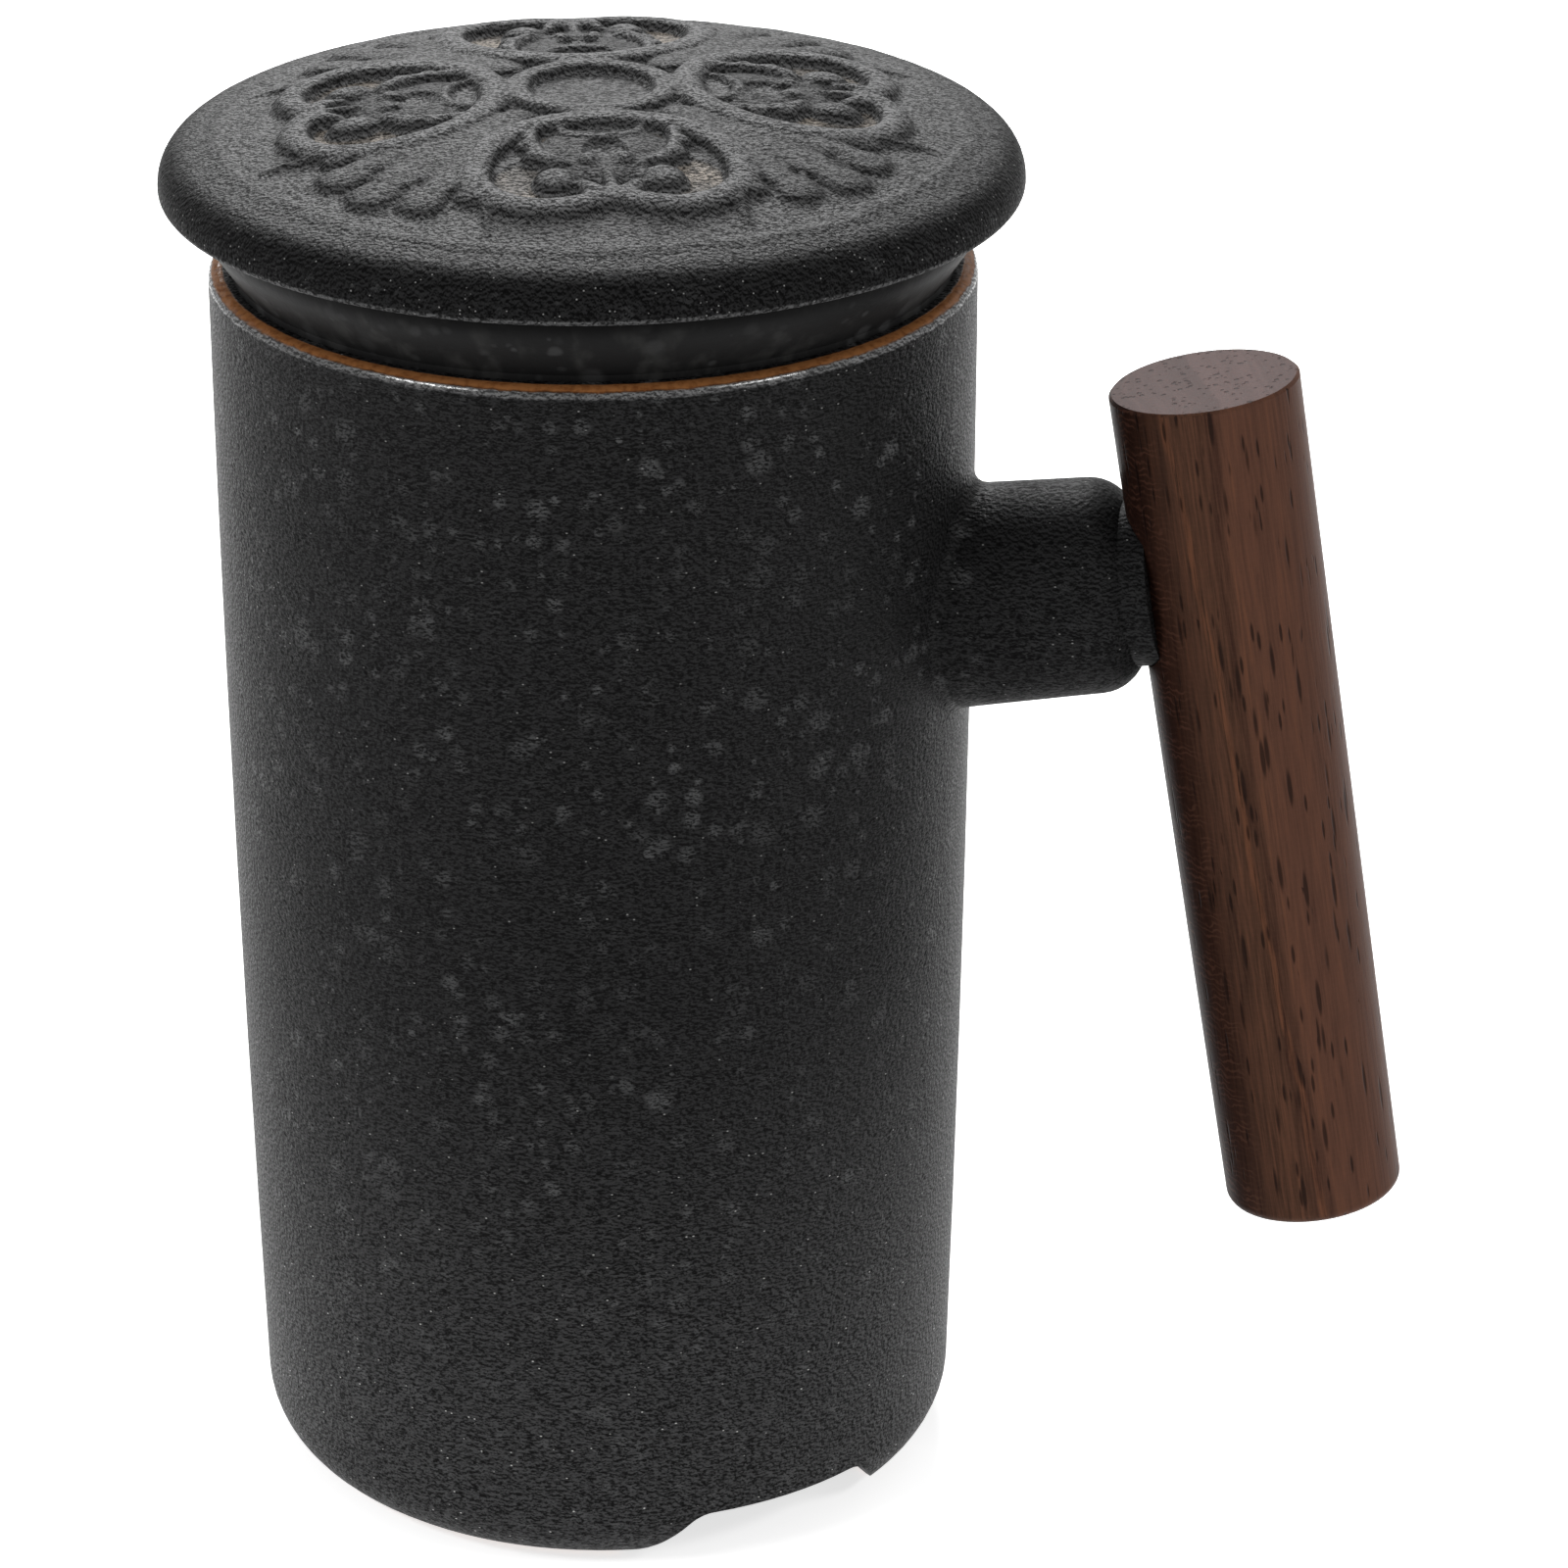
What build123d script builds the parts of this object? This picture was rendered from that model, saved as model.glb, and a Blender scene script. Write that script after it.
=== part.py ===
from build123d import *
import math
import os

# Stoneware tea mug with a wooden side grip, a lift-out infuser and a domed lid.
# Millimetres. The origin is on the mug's axis at the surface that it stands on,
# +Z is up and the handle points along +X.

# Mug: thrown cylinder that narrows a little towards its foot
RIM_RADIUS = 37.5
MUG_HEIGHT = 128.0
FLANK_DRAFT = 2.0
WALL = 4.0
FLOOR_THICKNESS = 5.0
BASE_ROUND = 7.2
FLOOR_ROUND = 6.0
RIM_OUTER_ROUND = 1.2
RIM_INNER_ROUND = 0.5

# Foot: recessed underside, standing ring and two drain notches
FOOT_RING_WIDTH = 3.3
FOOT_RECESS = 7.2
FOOT_INNER_ROUND = 1.5
NOTCH_ANGLE = -47.0
NOTCH_COUNT = 2
NOTCH_WIDTH = 24.6
NOTCH_RAMP = 5.6
NOTCH_HEIGHT = 6.4
NOTCH_ROUND = 3.0
NOTCH_RUNOUT = 0.3

# Stub: hollow stoneware arm below the rim that carries the grip
STUB_DROP = 38.7
STUB_RISE = 9.1
STUB_ROOT_RADIUS = 12.2
STUB_END_RADIUS = 10.65
STUB_ROOT_ROUND = 1.2
SHOULDER_LENGTH = 3.8
NECK_RADIUS = 8.3
NECK_LENGTH = 2.6
SOCKET_RADIUS = 5.5
SOCKET_DEPTH = 13.0

# Grip: turned hardwood dowel, square to the stub and a little slimmer at its foot
GRIP_TOP_RADIUS = 9.3
GRIP_FOOT_RADIUS = 8.85
GRIP_STANDOFF = 19.6
GRIP_ABOVE = 20.1
GRIP_BELOW = 67.1
GRIP_TOP_BREAK = 0.3
GRIP_FOOT_ROUND = 1.2
SEAT_DEPTH = 2.2
SEAT_PLAY = 0.15

# Fixing: steel stud, potted in the stub and screwed into the grip
STUD_RADIUS = 3.0
STUD_IN_GRIP = 12.0
STUD_BREAK = 0.6
BORE_PLAY = 0.05
BORE_SPARE = 0.8
BOND_BEHIND_STUD = 1.5
BOND_RECESS = 0.6

# Infuser: collar that stands on the rim, and a pierced basket
COLLAR_SETBACK = 2.2
COLLAR_FLARE = 3.1
COLLAR_HEIGHT = 7.6
COLLAR_FOOT_BAND = 0.6
FLARE_ROUND = 4.0
LIP_BAND = 2.4
LIP_FLAT = 0.1
LIP_ROUND = 1.0
LIP_WIDTH = 4.4
MOUTH_DEPTH = 2.2
MOUTH_ROUND = 0.6
BASKET_PLAY = 0.7
BASKET_WALL = 3.0
BASKET_DEPTH = 62.0
BASKET_TAPER = 3.2
BASKET_FLOOR = 3.5
BASKET_ROUND = 5.0
BASKET_INNER_ROUND = 3.5
HOLE_RADIUS = 1.25
HOLE_PITCH = 7.0
FLOOR_HOLE_RINGS = 2
HOLES_PER_RING = 6
SIDE_HOLE_ROWS = 3
SIDE_HOLES = 16
SIDE_HOLE_FOOT = 14.0

# Lid: overhanging disc with a domed top and a spigot that centres it
LID_OVERHANG = 3.6
LID_EDGE = 4.0
LID_EDGE_FLAT = 0.1
LID_CROWN = 9.6
LID_TOP_ROUND = 3.8
LID_UNDER_ROUND = 0.8
SPIGOT_PLAY = 0.7
SPIGOT_DEPTH = 7.0
SPIGOT_WALL = 4.0
SPIGOT_ROUND = 1.2
LID_HOLLOW = 3.2
LID_HOLLOW_ROUND = 2.0
MEDALLION_RADIUS = 7.2
MEDALLION_BEAD = 1.5
MEDALLION_RISE = 0.7

# Ornament: four heart-shaped petals and four forked leaves that stand off the dome
PETAL_COUNT = 4
PETAL_TURN = -73.0
PETAL_LAP = 0.4
PETAL_LOBE_RADIUS = 9.4
PETAL_LOBE_OFFSET = 4.8
PETAL_RIB = 3.0
HOOD_LAP = 0.1
HOOD_RADIUS = 6.9
HOOD_RIB = 2.0
KNOB_AHEAD = 2.1
KNOB_OFFSET = 4.9
KNOB_RADIUS = 2.3
LEAF_STEM = 7.0
LEAF_REACH = 8.4
LEAF_SPREAD = 40.0
LEAF_WIDTH = 4.0
LEAF_EDGE_GAP = 13.1
RELIEF_AT_CROWN = 0.5
RELIEF_AT_EDGE = 1.1

# Mug: heights and radii that follow from the sizes above
base_radius = RIM_RADIUS - FLANK_DRAFT
bore_radius = RIM_RADIUS - WALL
bore_base_radius = base_radius - WALL
floor_height = FOOT_RECESS + FLOOR_THICKNESS
foot_ring_radius = base_radius - BASE_ROUND - FOOT_RING_WIDTH

# Handle: stations are measured along the stub, from the mug's axis
grip_length = GRIP_ABOVE + GRIP_BELOW
grip_seat_radius = GRIP_FOOT_RADIUS + (GRIP_TOP_RADIUS - GRIP_FOOT_RADIUS) * GRIP_BELOW / grip_length
seat_station = RIM_RADIUS + GRIP_STANDOFF
grip_station = seat_station - SEAT_DEPTH + grip_seat_radius
neck_station = seat_station - NECK_LENGTH
shoulder_station = neck_station - SHOULDER_LENGTH
socket_station = seat_station - SOCKET_DEPTH
stud_station = socket_station + BOND_BEHIND_STUD
stub_origin = Vector(0, 0, MUG_HEIGHT - STUB_DROP)
stub_direction = Vector(1, 0, 0).rotate(Axis.Y, -STUB_RISE)
grip_direction = Vector(0, 0, 1).rotate(Axis.Y, -STUB_RISE)
grip_foot = stub_origin + stub_direction * grip_station - grip_direction * GRIP_BELOW

# Infuser and lid: the collar follows the rim, the basket the bore, the spigot the basket
collar_foot_radius = RIM_RADIUS - COLLAR_SETBACK
collar_lip_radius = collar_foot_radius + COLLAR_FLARE
mouth_radius = collar_lip_radius - LIP_WIDTH
basket_top_radius = bore_radius - BASKET_PLAY
basket_foot_radius = basket_top_radius - BASKET_TAPER
basket_inner_radius = basket_top_radius - BASKET_WALL
basket_foot = MUG_HEIGHT - BASKET_DEPTH
lid_seat = MUG_HEIGHT + COLLAR_HEIGHT
lid_radius = collar_lip_radius + LID_OVERHANG
lid_crown = lid_seat + LID_CROWN
lid_edge_top = lid_seat + LID_EDGE
dome_rise = LID_CROWN - LID_EDGE
dome_radius = (lid_radius**2 + dome_rise**2) / (2 * dome_rise)
spigot_radius = basket_inner_radius - SPIGOT_PLAY
petal_half_width = PETAL_LOBE_OFFSET + PETAL_LOBE_RADIUS
petal_place = MEDALLION_RADIUS + petal_half_width - PETAL_LAP
petal_cusp_turn = math.degrees(math.asin(PETAL_LOBE_OFFSET / PETAL_LOBE_RADIUS))
hood_place = MEDALLION_RADIUS + HOOD_RADIUS - HOOD_LAP
knob_place = petal_place + KNOB_AHEAD
leaf_fork = lid_radius - LEAF_EDGE_GAP - LEAF_REACH
leaf_start = leaf_fork - LEAF_STEM
relief_crown = lid_crown + RELIEF_AT_CROWN
relief_edge = lid_edge_top + RELIEF_AT_EDGE
relief_rise = relief_crown - relief_edge
relief_radius = (lid_radius**2 + relief_rise**2) / (2 * relief_rise)

# Rounds that the straight bands beside them limit
flare_turn = math.atan2(COLLAR_FLARE, COLLAR_HEIGHT - LIP_BAND - COLLAR_FOOT_BAND)
flare_round = min(FLARE_ROUND, (LIP_BAND - LIP_ROUND - LIP_FLAT) / math.tan(flare_turn / 2))
lid_edge_turn = math.acos(lid_radius / dome_radius)
lid_top_round = min(LID_TOP_ROUND, (LID_EDGE - LID_UNDER_ROUND - LID_EDGE_FLAT) / math.tan(lid_edge_turn / 2))


def stub_plane(station):
    """Plane across the stub at this station, facing away from the mug."""
    return Plane(stub_origin + stub_direction * station, x_dir=(0, 1, 0), z_dir=stub_direction)


def facing(angle):
    """Upright plane through the mug's axis that faces this way around it."""
    return Plane.YZ.rotated((0, 0, angle))


def bottom_corner(sketch):
    """Outermost vertex of a section's lowest edge."""
    return sketch.vertices().group_by(Axis.Y)[0].sort_by(Axis.X)[-1]


def top_corner(sketch):
    """Outermost vertex of a section's highest edge."""
    return sketch.vertices().group_by(Axis.Y)[-1].sort_by(Axis.X)[-1]


os.makedirs("parts", exist_ok=True)

# Mug body: outside first, with its stub, then the hollow inside and the foot
with BuildPart() as mug_body:
    with BuildSketch(Plane.XZ) as outside:
        with BuildLine():
            TangentArc((RIM_RADIUS, MUG_HEIGHT), (base_radius, 0), tangent=(0, -1))
            Polyline((base_radius, 0), (0, 0), (0, MUG_HEIGHT), (RIM_RADIUS, MUG_HEIGHT))
        make_face()
        fillet(bottom_corner(outside), BASE_ROUND)
        fillet(top_corner(outside), RIM_OUTER_ROUND)
    revolve(axis=Axis.Z)

    with BuildSketch(Plane(stub_origin, x_dir=stub_direction, z_dir=(0, -1, 0))):
        with BuildLine():
            Polyline((0, 0), (0, STUB_ROOT_RADIUS), (shoulder_station, STUB_END_RADIUS))
            shoulder = TangentArc(
                (shoulder_station, STUB_END_RADIUS),
                (neck_station, NECK_RADIUS),
                tangent=(shoulder_station, STUB_END_RADIUS - STUB_ROOT_RADIUS),
            )
            Polyline(shoulder @ 1, (seat_station, NECK_RADIUS), (seat_station, 0), (0, 0))
        make_face()
    revolve(axis=Axis(stub_origin, stub_direction))
    plain_edges = (GeomType.LINE, GeomType.CIRCLE)
    fillet(mug_body.edges().filter_by(lambda edge: edge.geom_type not in plain_edges), STUB_ROOT_ROUND)

    with BuildSketch(Plane.XZ) as hollow:
        with BuildLine():
            flank = TangentArc((bore_radius, MUG_HEIGHT), (bore_base_radius, floor_height), tangent=(0, -1))
            Polyline(flank @ 1, (0, floor_height), (0, MUG_HEIGHT), flank @ 0)
        make_face()
        fillet(bottom_corner(hollow), FLOOR_ROUND)
    revolve(axis=Axis.Z, mode=Mode.SUBTRACT)
    rim_circles = mug_body.edges().filter_by(GeomType.CIRCLE).group_by(Axis.Z)[-1]
    fillet(rim_circles.sort_by(SortBy.RADIUS)[0], RIM_INNER_ROUND)

    with BuildSketch(Plane.XZ) as recess:
        Rectangle(foot_ring_radius, FOOT_RECESS, align=Align.MIN)
        fillet(top_corner(recess), FOOT_INNER_ROUND)
    revolve(axis=Axis.Z, mode=Mode.SUBTRACT)

    for step in range(NOTCH_COUNT):
        with BuildSketch(facing(NOTCH_ANGLE + step * 360 / NOTCH_COUNT)):
            half_foot = (NOTCH_WIDTH + NOTCH_RAMP) / 2
            half_top = (NOTCH_WIDTH - NOTCH_RAMP) / 2
            half_clear = half_foot + NOTCH_WIDTH
            with BuildLine() as ogee:
                Polyline(
                    (half_clear, -NOTCH_HEIGHT),
                    (half_clear, -NOTCH_RUNOUT),
                    (half_foot, -NOTCH_RUNOUT),
                    (half_top, NOTCH_HEIGHT),
                    (0, NOTCH_HEIGHT),
                )
                fillet(ogee.vertices().sort_by(Axis.X)[1:3], NOTCH_ROUND)
                mirror(about=Plane.YZ)
                Line((-half_clear, -NOTCH_HEIGHT), (half_clear, -NOTCH_HEIGHT))
            make_face()
        extrude(amount=RIM_RADIUS, mode=Mode.SUBTRACT)

    with BuildSketch(stub_plane(socket_station)):
        Circle(SOCKET_RADIUS)
    extrude(amount=SOCKET_DEPTH, mode=Mode.SUBTRACT)

mug_body.part.label = "mug_body"
export_step(mug_body.part, "parts/mug_body.step")

# Grip: dowel with a flat seat for the stub's neck and a blind bore for the stud
with BuildPart() as handle_grip:
    with BuildSketch(Plane(grip_foot, x_dir=stub_direction, z_dir=(0, -1, 0))) as half_dowel:
        with BuildLine():
            Polyline(
                (0, 0), (GRIP_FOOT_RADIUS, 0), (GRIP_TOP_RADIUS, grip_length), (0, grip_length), close=True
            )
        make_face()
        fillet(bottom_corner(half_dowel), GRIP_FOOT_ROUND)
        chamfer(top_corner(half_dowel), GRIP_TOP_BREAK)
    revolve(axis=Axis(grip_foot, grip_direction))
    with BuildSketch(stub_plane(seat_station)):
        Circle(NECK_RADIUS + SEAT_PLAY)
    extrude(amount=-GRIP_TOP_RADIUS, mode=Mode.SUBTRACT)
    with BuildSketch(stub_plane(seat_station)):
        Circle(STUD_RADIUS + BORE_PLAY)
    extrude(amount=STUD_IN_GRIP + BORE_SPARE, mode=Mode.SUBTRACT)

handle_grip.part.label = "handle_grip"
export_step(handle_grip.part, "parts/handle_grip.step")

# Stud: plain steel rod with broken edges
with BuildPart() as handle_stud:
    with BuildSketch(stub_plane(stud_station)):
        Circle(STUD_RADIUS)
    extrude(amount=seat_station + STUD_IN_GRIP - stud_station)
    chamfer(handle_stud.edges().filter_by(GeomType.CIRCLE), STUD_BREAK)

handle_stud.part.label = "handle_stud"
export_step(handle_stud.part, "parts/handle_stud.step")

# Bond: potting that fills the stub's socket around and behind the stud
with BuildPart() as stud_bond:
    with BuildSketch(stub_plane(socket_station)):
        Circle(SOCKET_RADIUS - BORE_PLAY)
    extrude(amount=SOCKET_DEPTH - BOND_RECESS)
    with BuildSketch(stub_plane(stud_station)):
        Circle(STUD_RADIUS + BORE_PLAY)
    extrude(amount=SOCKET_DEPTH, mode=Mode.SUBTRACT)

stud_bond.part.label = "stud_bond"
export_step(stud_bond.part, "parts/stud_bond.step")

# Infuser: flared collar on the rim, tapered basket below, pierced floor and sides
with BuildPart() as infuser_basket:
    with BuildSketch(Plane.XZ) as shell:
        flare_top = (collar_lip_radius, lid_seat - LIP_BAND)
        inner_corner = (basket_foot_radius - BASKET_WALL, basket_foot + BASKET_FLOOR)
        with BuildLine():
            Polyline(
                (collar_foot_radius, MUG_HEIGHT + COLLAR_FOOT_BAND),
                flare_top,
                (collar_lip_radius, lid_seat),
                (mouth_radius, lid_seat),
                (mouth_radius, lid_seat - MOUTH_DEPTH),
                (basket_inner_radius, MUG_HEIGHT),
                inner_corner,
                (0, basket_foot + BASKET_FLOOR),
                (0, basket_foot),
                (basket_foot_radius, basket_foot),
                (basket_top_radius, MUG_HEIGHT),
                (collar_foot_radius, MUG_HEIGHT),
                close=True,
            )
        make_face()
        lip_corners = shell.vertices().group_by(Axis.Y)[-1].sort_by(Axis.X)
        fillet(lip_corners[-1], LIP_ROUND)
        fillet(lip_corners[0], MOUTH_ROUND)
        fillet(shell.vertices().sort_by_distance(flare_top)[0], flare_round)
        fillet(bottom_corner(shell), BASKET_ROUND)
        fillet(shell.vertices().sort_by_distance(inner_corner)[0], BASKET_INNER_ROUND)
    revolve(axis=Axis.Z)

    with BuildSketch(Plane.XY.offset(basket_foot)):
        Circle(HOLE_RADIUS)
        for ring in range(1, FLOOR_HOLE_RINGS + 1):
            with PolarLocations(ring * HOLE_PITCH, ring * HOLES_PER_RING):
                Circle(HOLE_RADIUS)
    extrude(amount=BASKET_FLOOR, mode=Mode.SUBTRACT)

    for row in range(SIDE_HOLE_ROWS):
        row_height = basket_foot + SIDE_HOLE_FOOT + row * HOLE_PITCH
        with Locations((0, 0, row_height)):
            with PolarLocations(0, SIDE_HOLES, start_angle=row % 2 * 180 / SIDE_HOLES):
                Cylinder(
                    HOLE_RADIUS,
                    basket_top_radius,
                    rotation=(0, 90, 0),
                    align=(Align.CENTER, Align.CENTER, Align.MIN),
                    mode=Mode.SUBTRACT,
                )

infuser_basket.part.label = "infuser_basket"
export_step(infuser_basket.part, "parts/infuser_basket.step")

# Ornament in plan: a petal with its hood and knobs, pointing along +X, and a forked leaf
with BuildSketch() as petal:
    with BuildLine():
        CenterArc((petal_place, 0), petal_half_width, 90, 90)
        CenterArc((petal_place, PETAL_LOBE_OFFSET), PETAL_LOBE_RADIUS, 90, -90 - petal_cusp_turn)
        mirror(about=Plane.XZ)
    make_face()
    offset(amount=-PETAL_RIB, mode=Mode.SUBTRACT)
    with Locations((hood_place, 0)):
        Circle(HOOD_RADIUS)
        Circle(HOOD_RADIUS - HOOD_RIB, mode=Mode.SUBTRACT)
    with Locations((knob_place, KNOB_OFFSET), (knob_place, -KNOB_OFFSET)):
        Circle(KNOB_RADIUS)

with BuildSketch() as leaf:
    with Locations(((leaf_start + leaf_fork) / 2, 0)):
        SlotCenterToCenter(LEAF_STEM, LEAF_WIDTH)
    for turn in (-LEAF_SPREAD, 0, LEAF_SPREAD):
        with Locations(Location((leaf_fork, 0), turn)):
            with Locations((LEAF_REACH / 2, 0)):
                SlotCenterToCenter(LEAF_REACH, LEAF_WIDTH)

# Ornament: the plan drawn up to a shell just above the dome
with BuildPart() as ornament:
    with BuildSketch(Plane.XY.offset(lid_seat + LID_UNDER_ROUND)):
        with PolarLocations(0, PETAL_COUNT, start_angle=PETAL_TURN):
            add(petal.sketch)
        with PolarLocations(0, PETAL_COUNT, start_angle=PETAL_TURN + 180 / PETAL_COUNT):
            add(leaf.sketch)
    extrude(amount=LID_CROWN)
    with BuildSketch(Plane.XZ):
        with BuildLine():
            RadiusArc((lid_radius, relief_edge), (0, relief_crown), -relief_radius)
            Polyline((0, relief_crown), (0, lid_seat), (lid_radius, lid_seat), (lid_radius, relief_edge))
        make_face()
    revolve(axis=Axis.Z, mode=Mode.INTERSECT)

# Lid: domed disc that overhangs the collar, a beaded medallion on top, a spigot below
with BuildPart() as lid:
    with BuildSketch(Plane.XZ) as disc:
        with BuildLine():
            RadiusArc((lid_radius, lid_edge_top), (0, lid_crown), -dome_radius)
            Polyline((0, lid_crown), (0, lid_seat), (lid_radius, lid_seat), (lid_radius, lid_edge_top))
        make_face()
        edge_corners = disc.vertices().group_by(Axis.X)[-1].sort_by(Axis.Y)
        fillet(edge_corners[-1], lid_top_round)
        fillet(edge_corners[0], LID_UNDER_ROUND)
    revolve(axis=Axis.Z)

    ring_height = lid_crown - dome_radius + math.sqrt(dome_radius**2 - MEDALLION_RADIUS**2)
    with BuildSketch(Plane.XZ):
        with Locations((MEDALLION_RADIUS, ring_height + MEDALLION_RISE - MEDALLION_BEAD)):
            Circle(MEDALLION_BEAD)
    revolve(axis=Axis.Z)

    add(ornament.part)

    with BuildSketch(Plane.XY.offset(lid_seat)):
        Circle(spigot_radius)
    extrude(amount=-SPIGOT_DEPTH)
    fillet(lid.edges().filter_by(GeomType.CIRCLE).sort_by(Axis.Z)[0], SPIGOT_ROUND)
    with BuildSketch(Plane.XZ) as underside:
        with Locations((0, lid_seat - SPIGOT_DEPTH)):
            Rectangle(spigot_radius - SPIGOT_WALL, SPIGOT_DEPTH + LID_HOLLOW, align=Align.MIN)
        fillet(top_corner(underside), LID_HOLLOW_ROUND)
    revolve(axis=Axis.Z, mode=Mode.SUBTRACT)

lid.part.label = "lid"
export_step(lid.part, "parts/lid.step")
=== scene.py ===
import math

import bpy
from mathutils import Euler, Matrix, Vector


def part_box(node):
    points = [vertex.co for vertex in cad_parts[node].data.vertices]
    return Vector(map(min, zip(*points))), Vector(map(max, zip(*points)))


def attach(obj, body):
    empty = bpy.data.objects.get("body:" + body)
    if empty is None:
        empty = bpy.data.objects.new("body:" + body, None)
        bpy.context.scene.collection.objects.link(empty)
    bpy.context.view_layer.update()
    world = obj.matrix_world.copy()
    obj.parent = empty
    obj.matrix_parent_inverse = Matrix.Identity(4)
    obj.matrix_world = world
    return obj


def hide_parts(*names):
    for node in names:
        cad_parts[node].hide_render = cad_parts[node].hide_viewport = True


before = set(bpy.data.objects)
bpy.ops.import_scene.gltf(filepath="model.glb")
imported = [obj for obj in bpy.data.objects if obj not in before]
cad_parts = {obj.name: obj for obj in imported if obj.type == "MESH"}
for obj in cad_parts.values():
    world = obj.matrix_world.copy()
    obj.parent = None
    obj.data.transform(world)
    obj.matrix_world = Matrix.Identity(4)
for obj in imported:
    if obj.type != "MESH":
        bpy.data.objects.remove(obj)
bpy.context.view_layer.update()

# Stoneware tea mug with a wooden side grip, a lift-out infuser and a domed, carved lid.
# Metres. The mug's axis is the Z axis, it stands at z = 0 and its handle points along +X.
MM = 0.001

# Camera, fitted to the photograph's outline
CAMERA_PLACE = Vector((0.12454, -0.53945, 0.31919))
CAMERA_FORWARD = Vector((-0.1754, 0.8958, -0.4084))
CAMERA_LENS = 137.33
SENSOR_WIDTH = 36.0
CLIP_START = 0.01

# Studio: each soft box's name, place, width, depth and power, then the surroundings and the floor
SOFT_BOXES = (
    ("top_box", (-0.16, 0.54, 0.5), 0.34, 0.3, 5.8),
    ("left_box", (-0.6, -0.66, 0.8), 0.4, 0.15, 3.6),
    ("right_box", (0.86, -0.32, 0.8), 0.4, 0.15, 2.4),
)
LAMP_AIM = Vector((0.0, 0.0, 0.08))
WHITE = (1.0, 1.0, 1.0)
SURROUNDINGS_GLOW = 0.4
FLOOR_HALF = 3.0
FLOOR_DROP = 0.05 * MM
FLOOR_COLOUR = (0.86, 0.86, 0.86)
FLOOR_ROUGHNESS = 0.9
FLOOR_GLOW = 0.3
FLOOR_GLOW_SEEN = 0.4

# Mug and handle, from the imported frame
mug_low, mug_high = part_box("mug_body")
collar_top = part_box("infuser_basket")[1].z
grip_low, grip_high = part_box("handle_grip")
rim_height = mug_high.z
rim_radius = -mug_low.x
grip_lean = math.radians(9.1)
grip_turn = Euler((0, grip_lean, 0))
grip_axis = (-math.sin(grip_lean), 0.0, math.cos(grip_lean))

# Lid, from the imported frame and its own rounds
lid_low, lid_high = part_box("lid")
lid_radius = lid_high.x
lid_seat = collar_top
spigot_foot = lid_low.z
LID_EDGE = 4.0 * MM
DOME_RISE = 5.3 * MM
TOP_ROUND = 3.8 * MM
UNDER_ROUND = 0.8 * MM
SPIGOT_RADIUS = 29.1 * MM
SPIGOT_WALL = 4.0 * MM
SPIGOT_ROUND = 1.2 * MM
SPIGOT_FILLET = 0.3 * MM
BORE_ROUND = 0.4 * MM
HOLLOW_HEIGHT = 3.2 * MM
HOLLOW_ROUND = 2.0 * MM
LID_SEGMENTS = 560
DOME_STEP = 0.32 * MM
TOP_ROUND_STEPS = 12
ROUND_STEPS = 6
SMALL_ROUND_STEPS = 3
SHARP_EDGE = math.radians(50)
edge_top = lid_seat + LID_EDGE
carved_from = edge_top - 0.6 * MM

# Carved ornament: points (along, across, half width) in hundredths of the lid's radius.
# Each is one half of a motif that points outwards and is mirrored across its own axis.
PETAL_COUNT = 4
PETAL_TURN = math.radians(-73)
PETAL_PLACE = 52.0
PETAL_LOBE_RADIUS = 20.6
PETAL_LOBE_OFFSET = 13.2
PETAL_RIB = 7.8
PETAL_EDGE_STEPS = 8
PETAL_FLANK_END = 95
PETAL_CURL = [(62, 4.5, 3.0), (58, 6.0, 2.0)]
PETAL_FRILLS = [
    [
        (21, 10.5, 1.8),
        (25.5, 14.6, 2.3),
        (33, 16.2, 2.4),
        (41, 15.2, 2.6),
        (46.5, 12.2, 3.2),
        (47.5, 8.5, 1.8),
    ],
    [(20, 8.0, 1.3), (26.5, 9.6, 1.7), (32, 6.8, 2.0), (34.2, 0, 2.0)],
    [(36, 9.5, 1.0), (42, 8.6, 1.5), (46, 6.2, 1.0)],
    [(49, 0, 1.4), (56, 0, 2.2), (63, 0, 2.4)],
]
PETAL_DROPS = [
    [(54.5, 12, 5.6), (56, 12, 5.6)],
    [(45.5, 4.0, 3.0), (46.5, 4.0, 3.0)],
    [(29, 17.2, 2.6), (29.5, 17.2, 2.6)],
    [(36.5, 17.4, 2.8), (37, 17.4, 2.8)],
    [(43, 16, 3.0), (43.5, 16, 3.0)],
]
PETAL_HOODS = [[(27.5, 0, 9.0), (33, 0, 14.0), (39, 0, 15.2), (44, 0, 12.5)]]
PETAL_CUPS = [[(26.5, 0, 8.2), (28, 0, 8.4)], [(39.5, 0, 4.6), (41, 0, 5.2)]]
PETAL_HOLLOWS = [
    [(26, 0, 7), (31, 0, 17), (40, 0, 25), (48, 0, 25), (54, 0, 13)],
    [(55, 14, 13), (58, 14, 11)],
]
LEAF_STEMS = [
    [(26, 0, 4.5), (32, 0, 6.5), (40, 0, 8.5), (48, 0, 9), (57, 0, 8), (66, 0, 7.5)],
    [(48, 4, 6), (57, 9, 6), (65, 12, 5)],
    [(72.5, 0, 5.8), (74.5, 0, 6.2)],
    [(69, 11.8, 6.0), (71, 12.4, 6.2)],
    [(62.5, 19, 3.6), (64.5, 20, 3.8)],
]
LEAF_SPRIGS = [
    [(60, 20, 2.0), (65, 25, 1.8), (71, 31, 1.3), (76, 35, 0.5)],
    [(58, 0, 1.0), (68, 0, 1.5), (74, 0, 0.8)],
    [(56, 8, 1.0), (64, 11.5, 1.5), (70.5, 12.4, 0.8)],
]
MEDALLION_RADIUS = 17.1
MEDALLION_HALF_WIDTH = 3.4
MEDALLION_POINTS = 7
MEDALLION_DISH = [(0, 0, 15.5), (0.5, 0, 15.5)]
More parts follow.
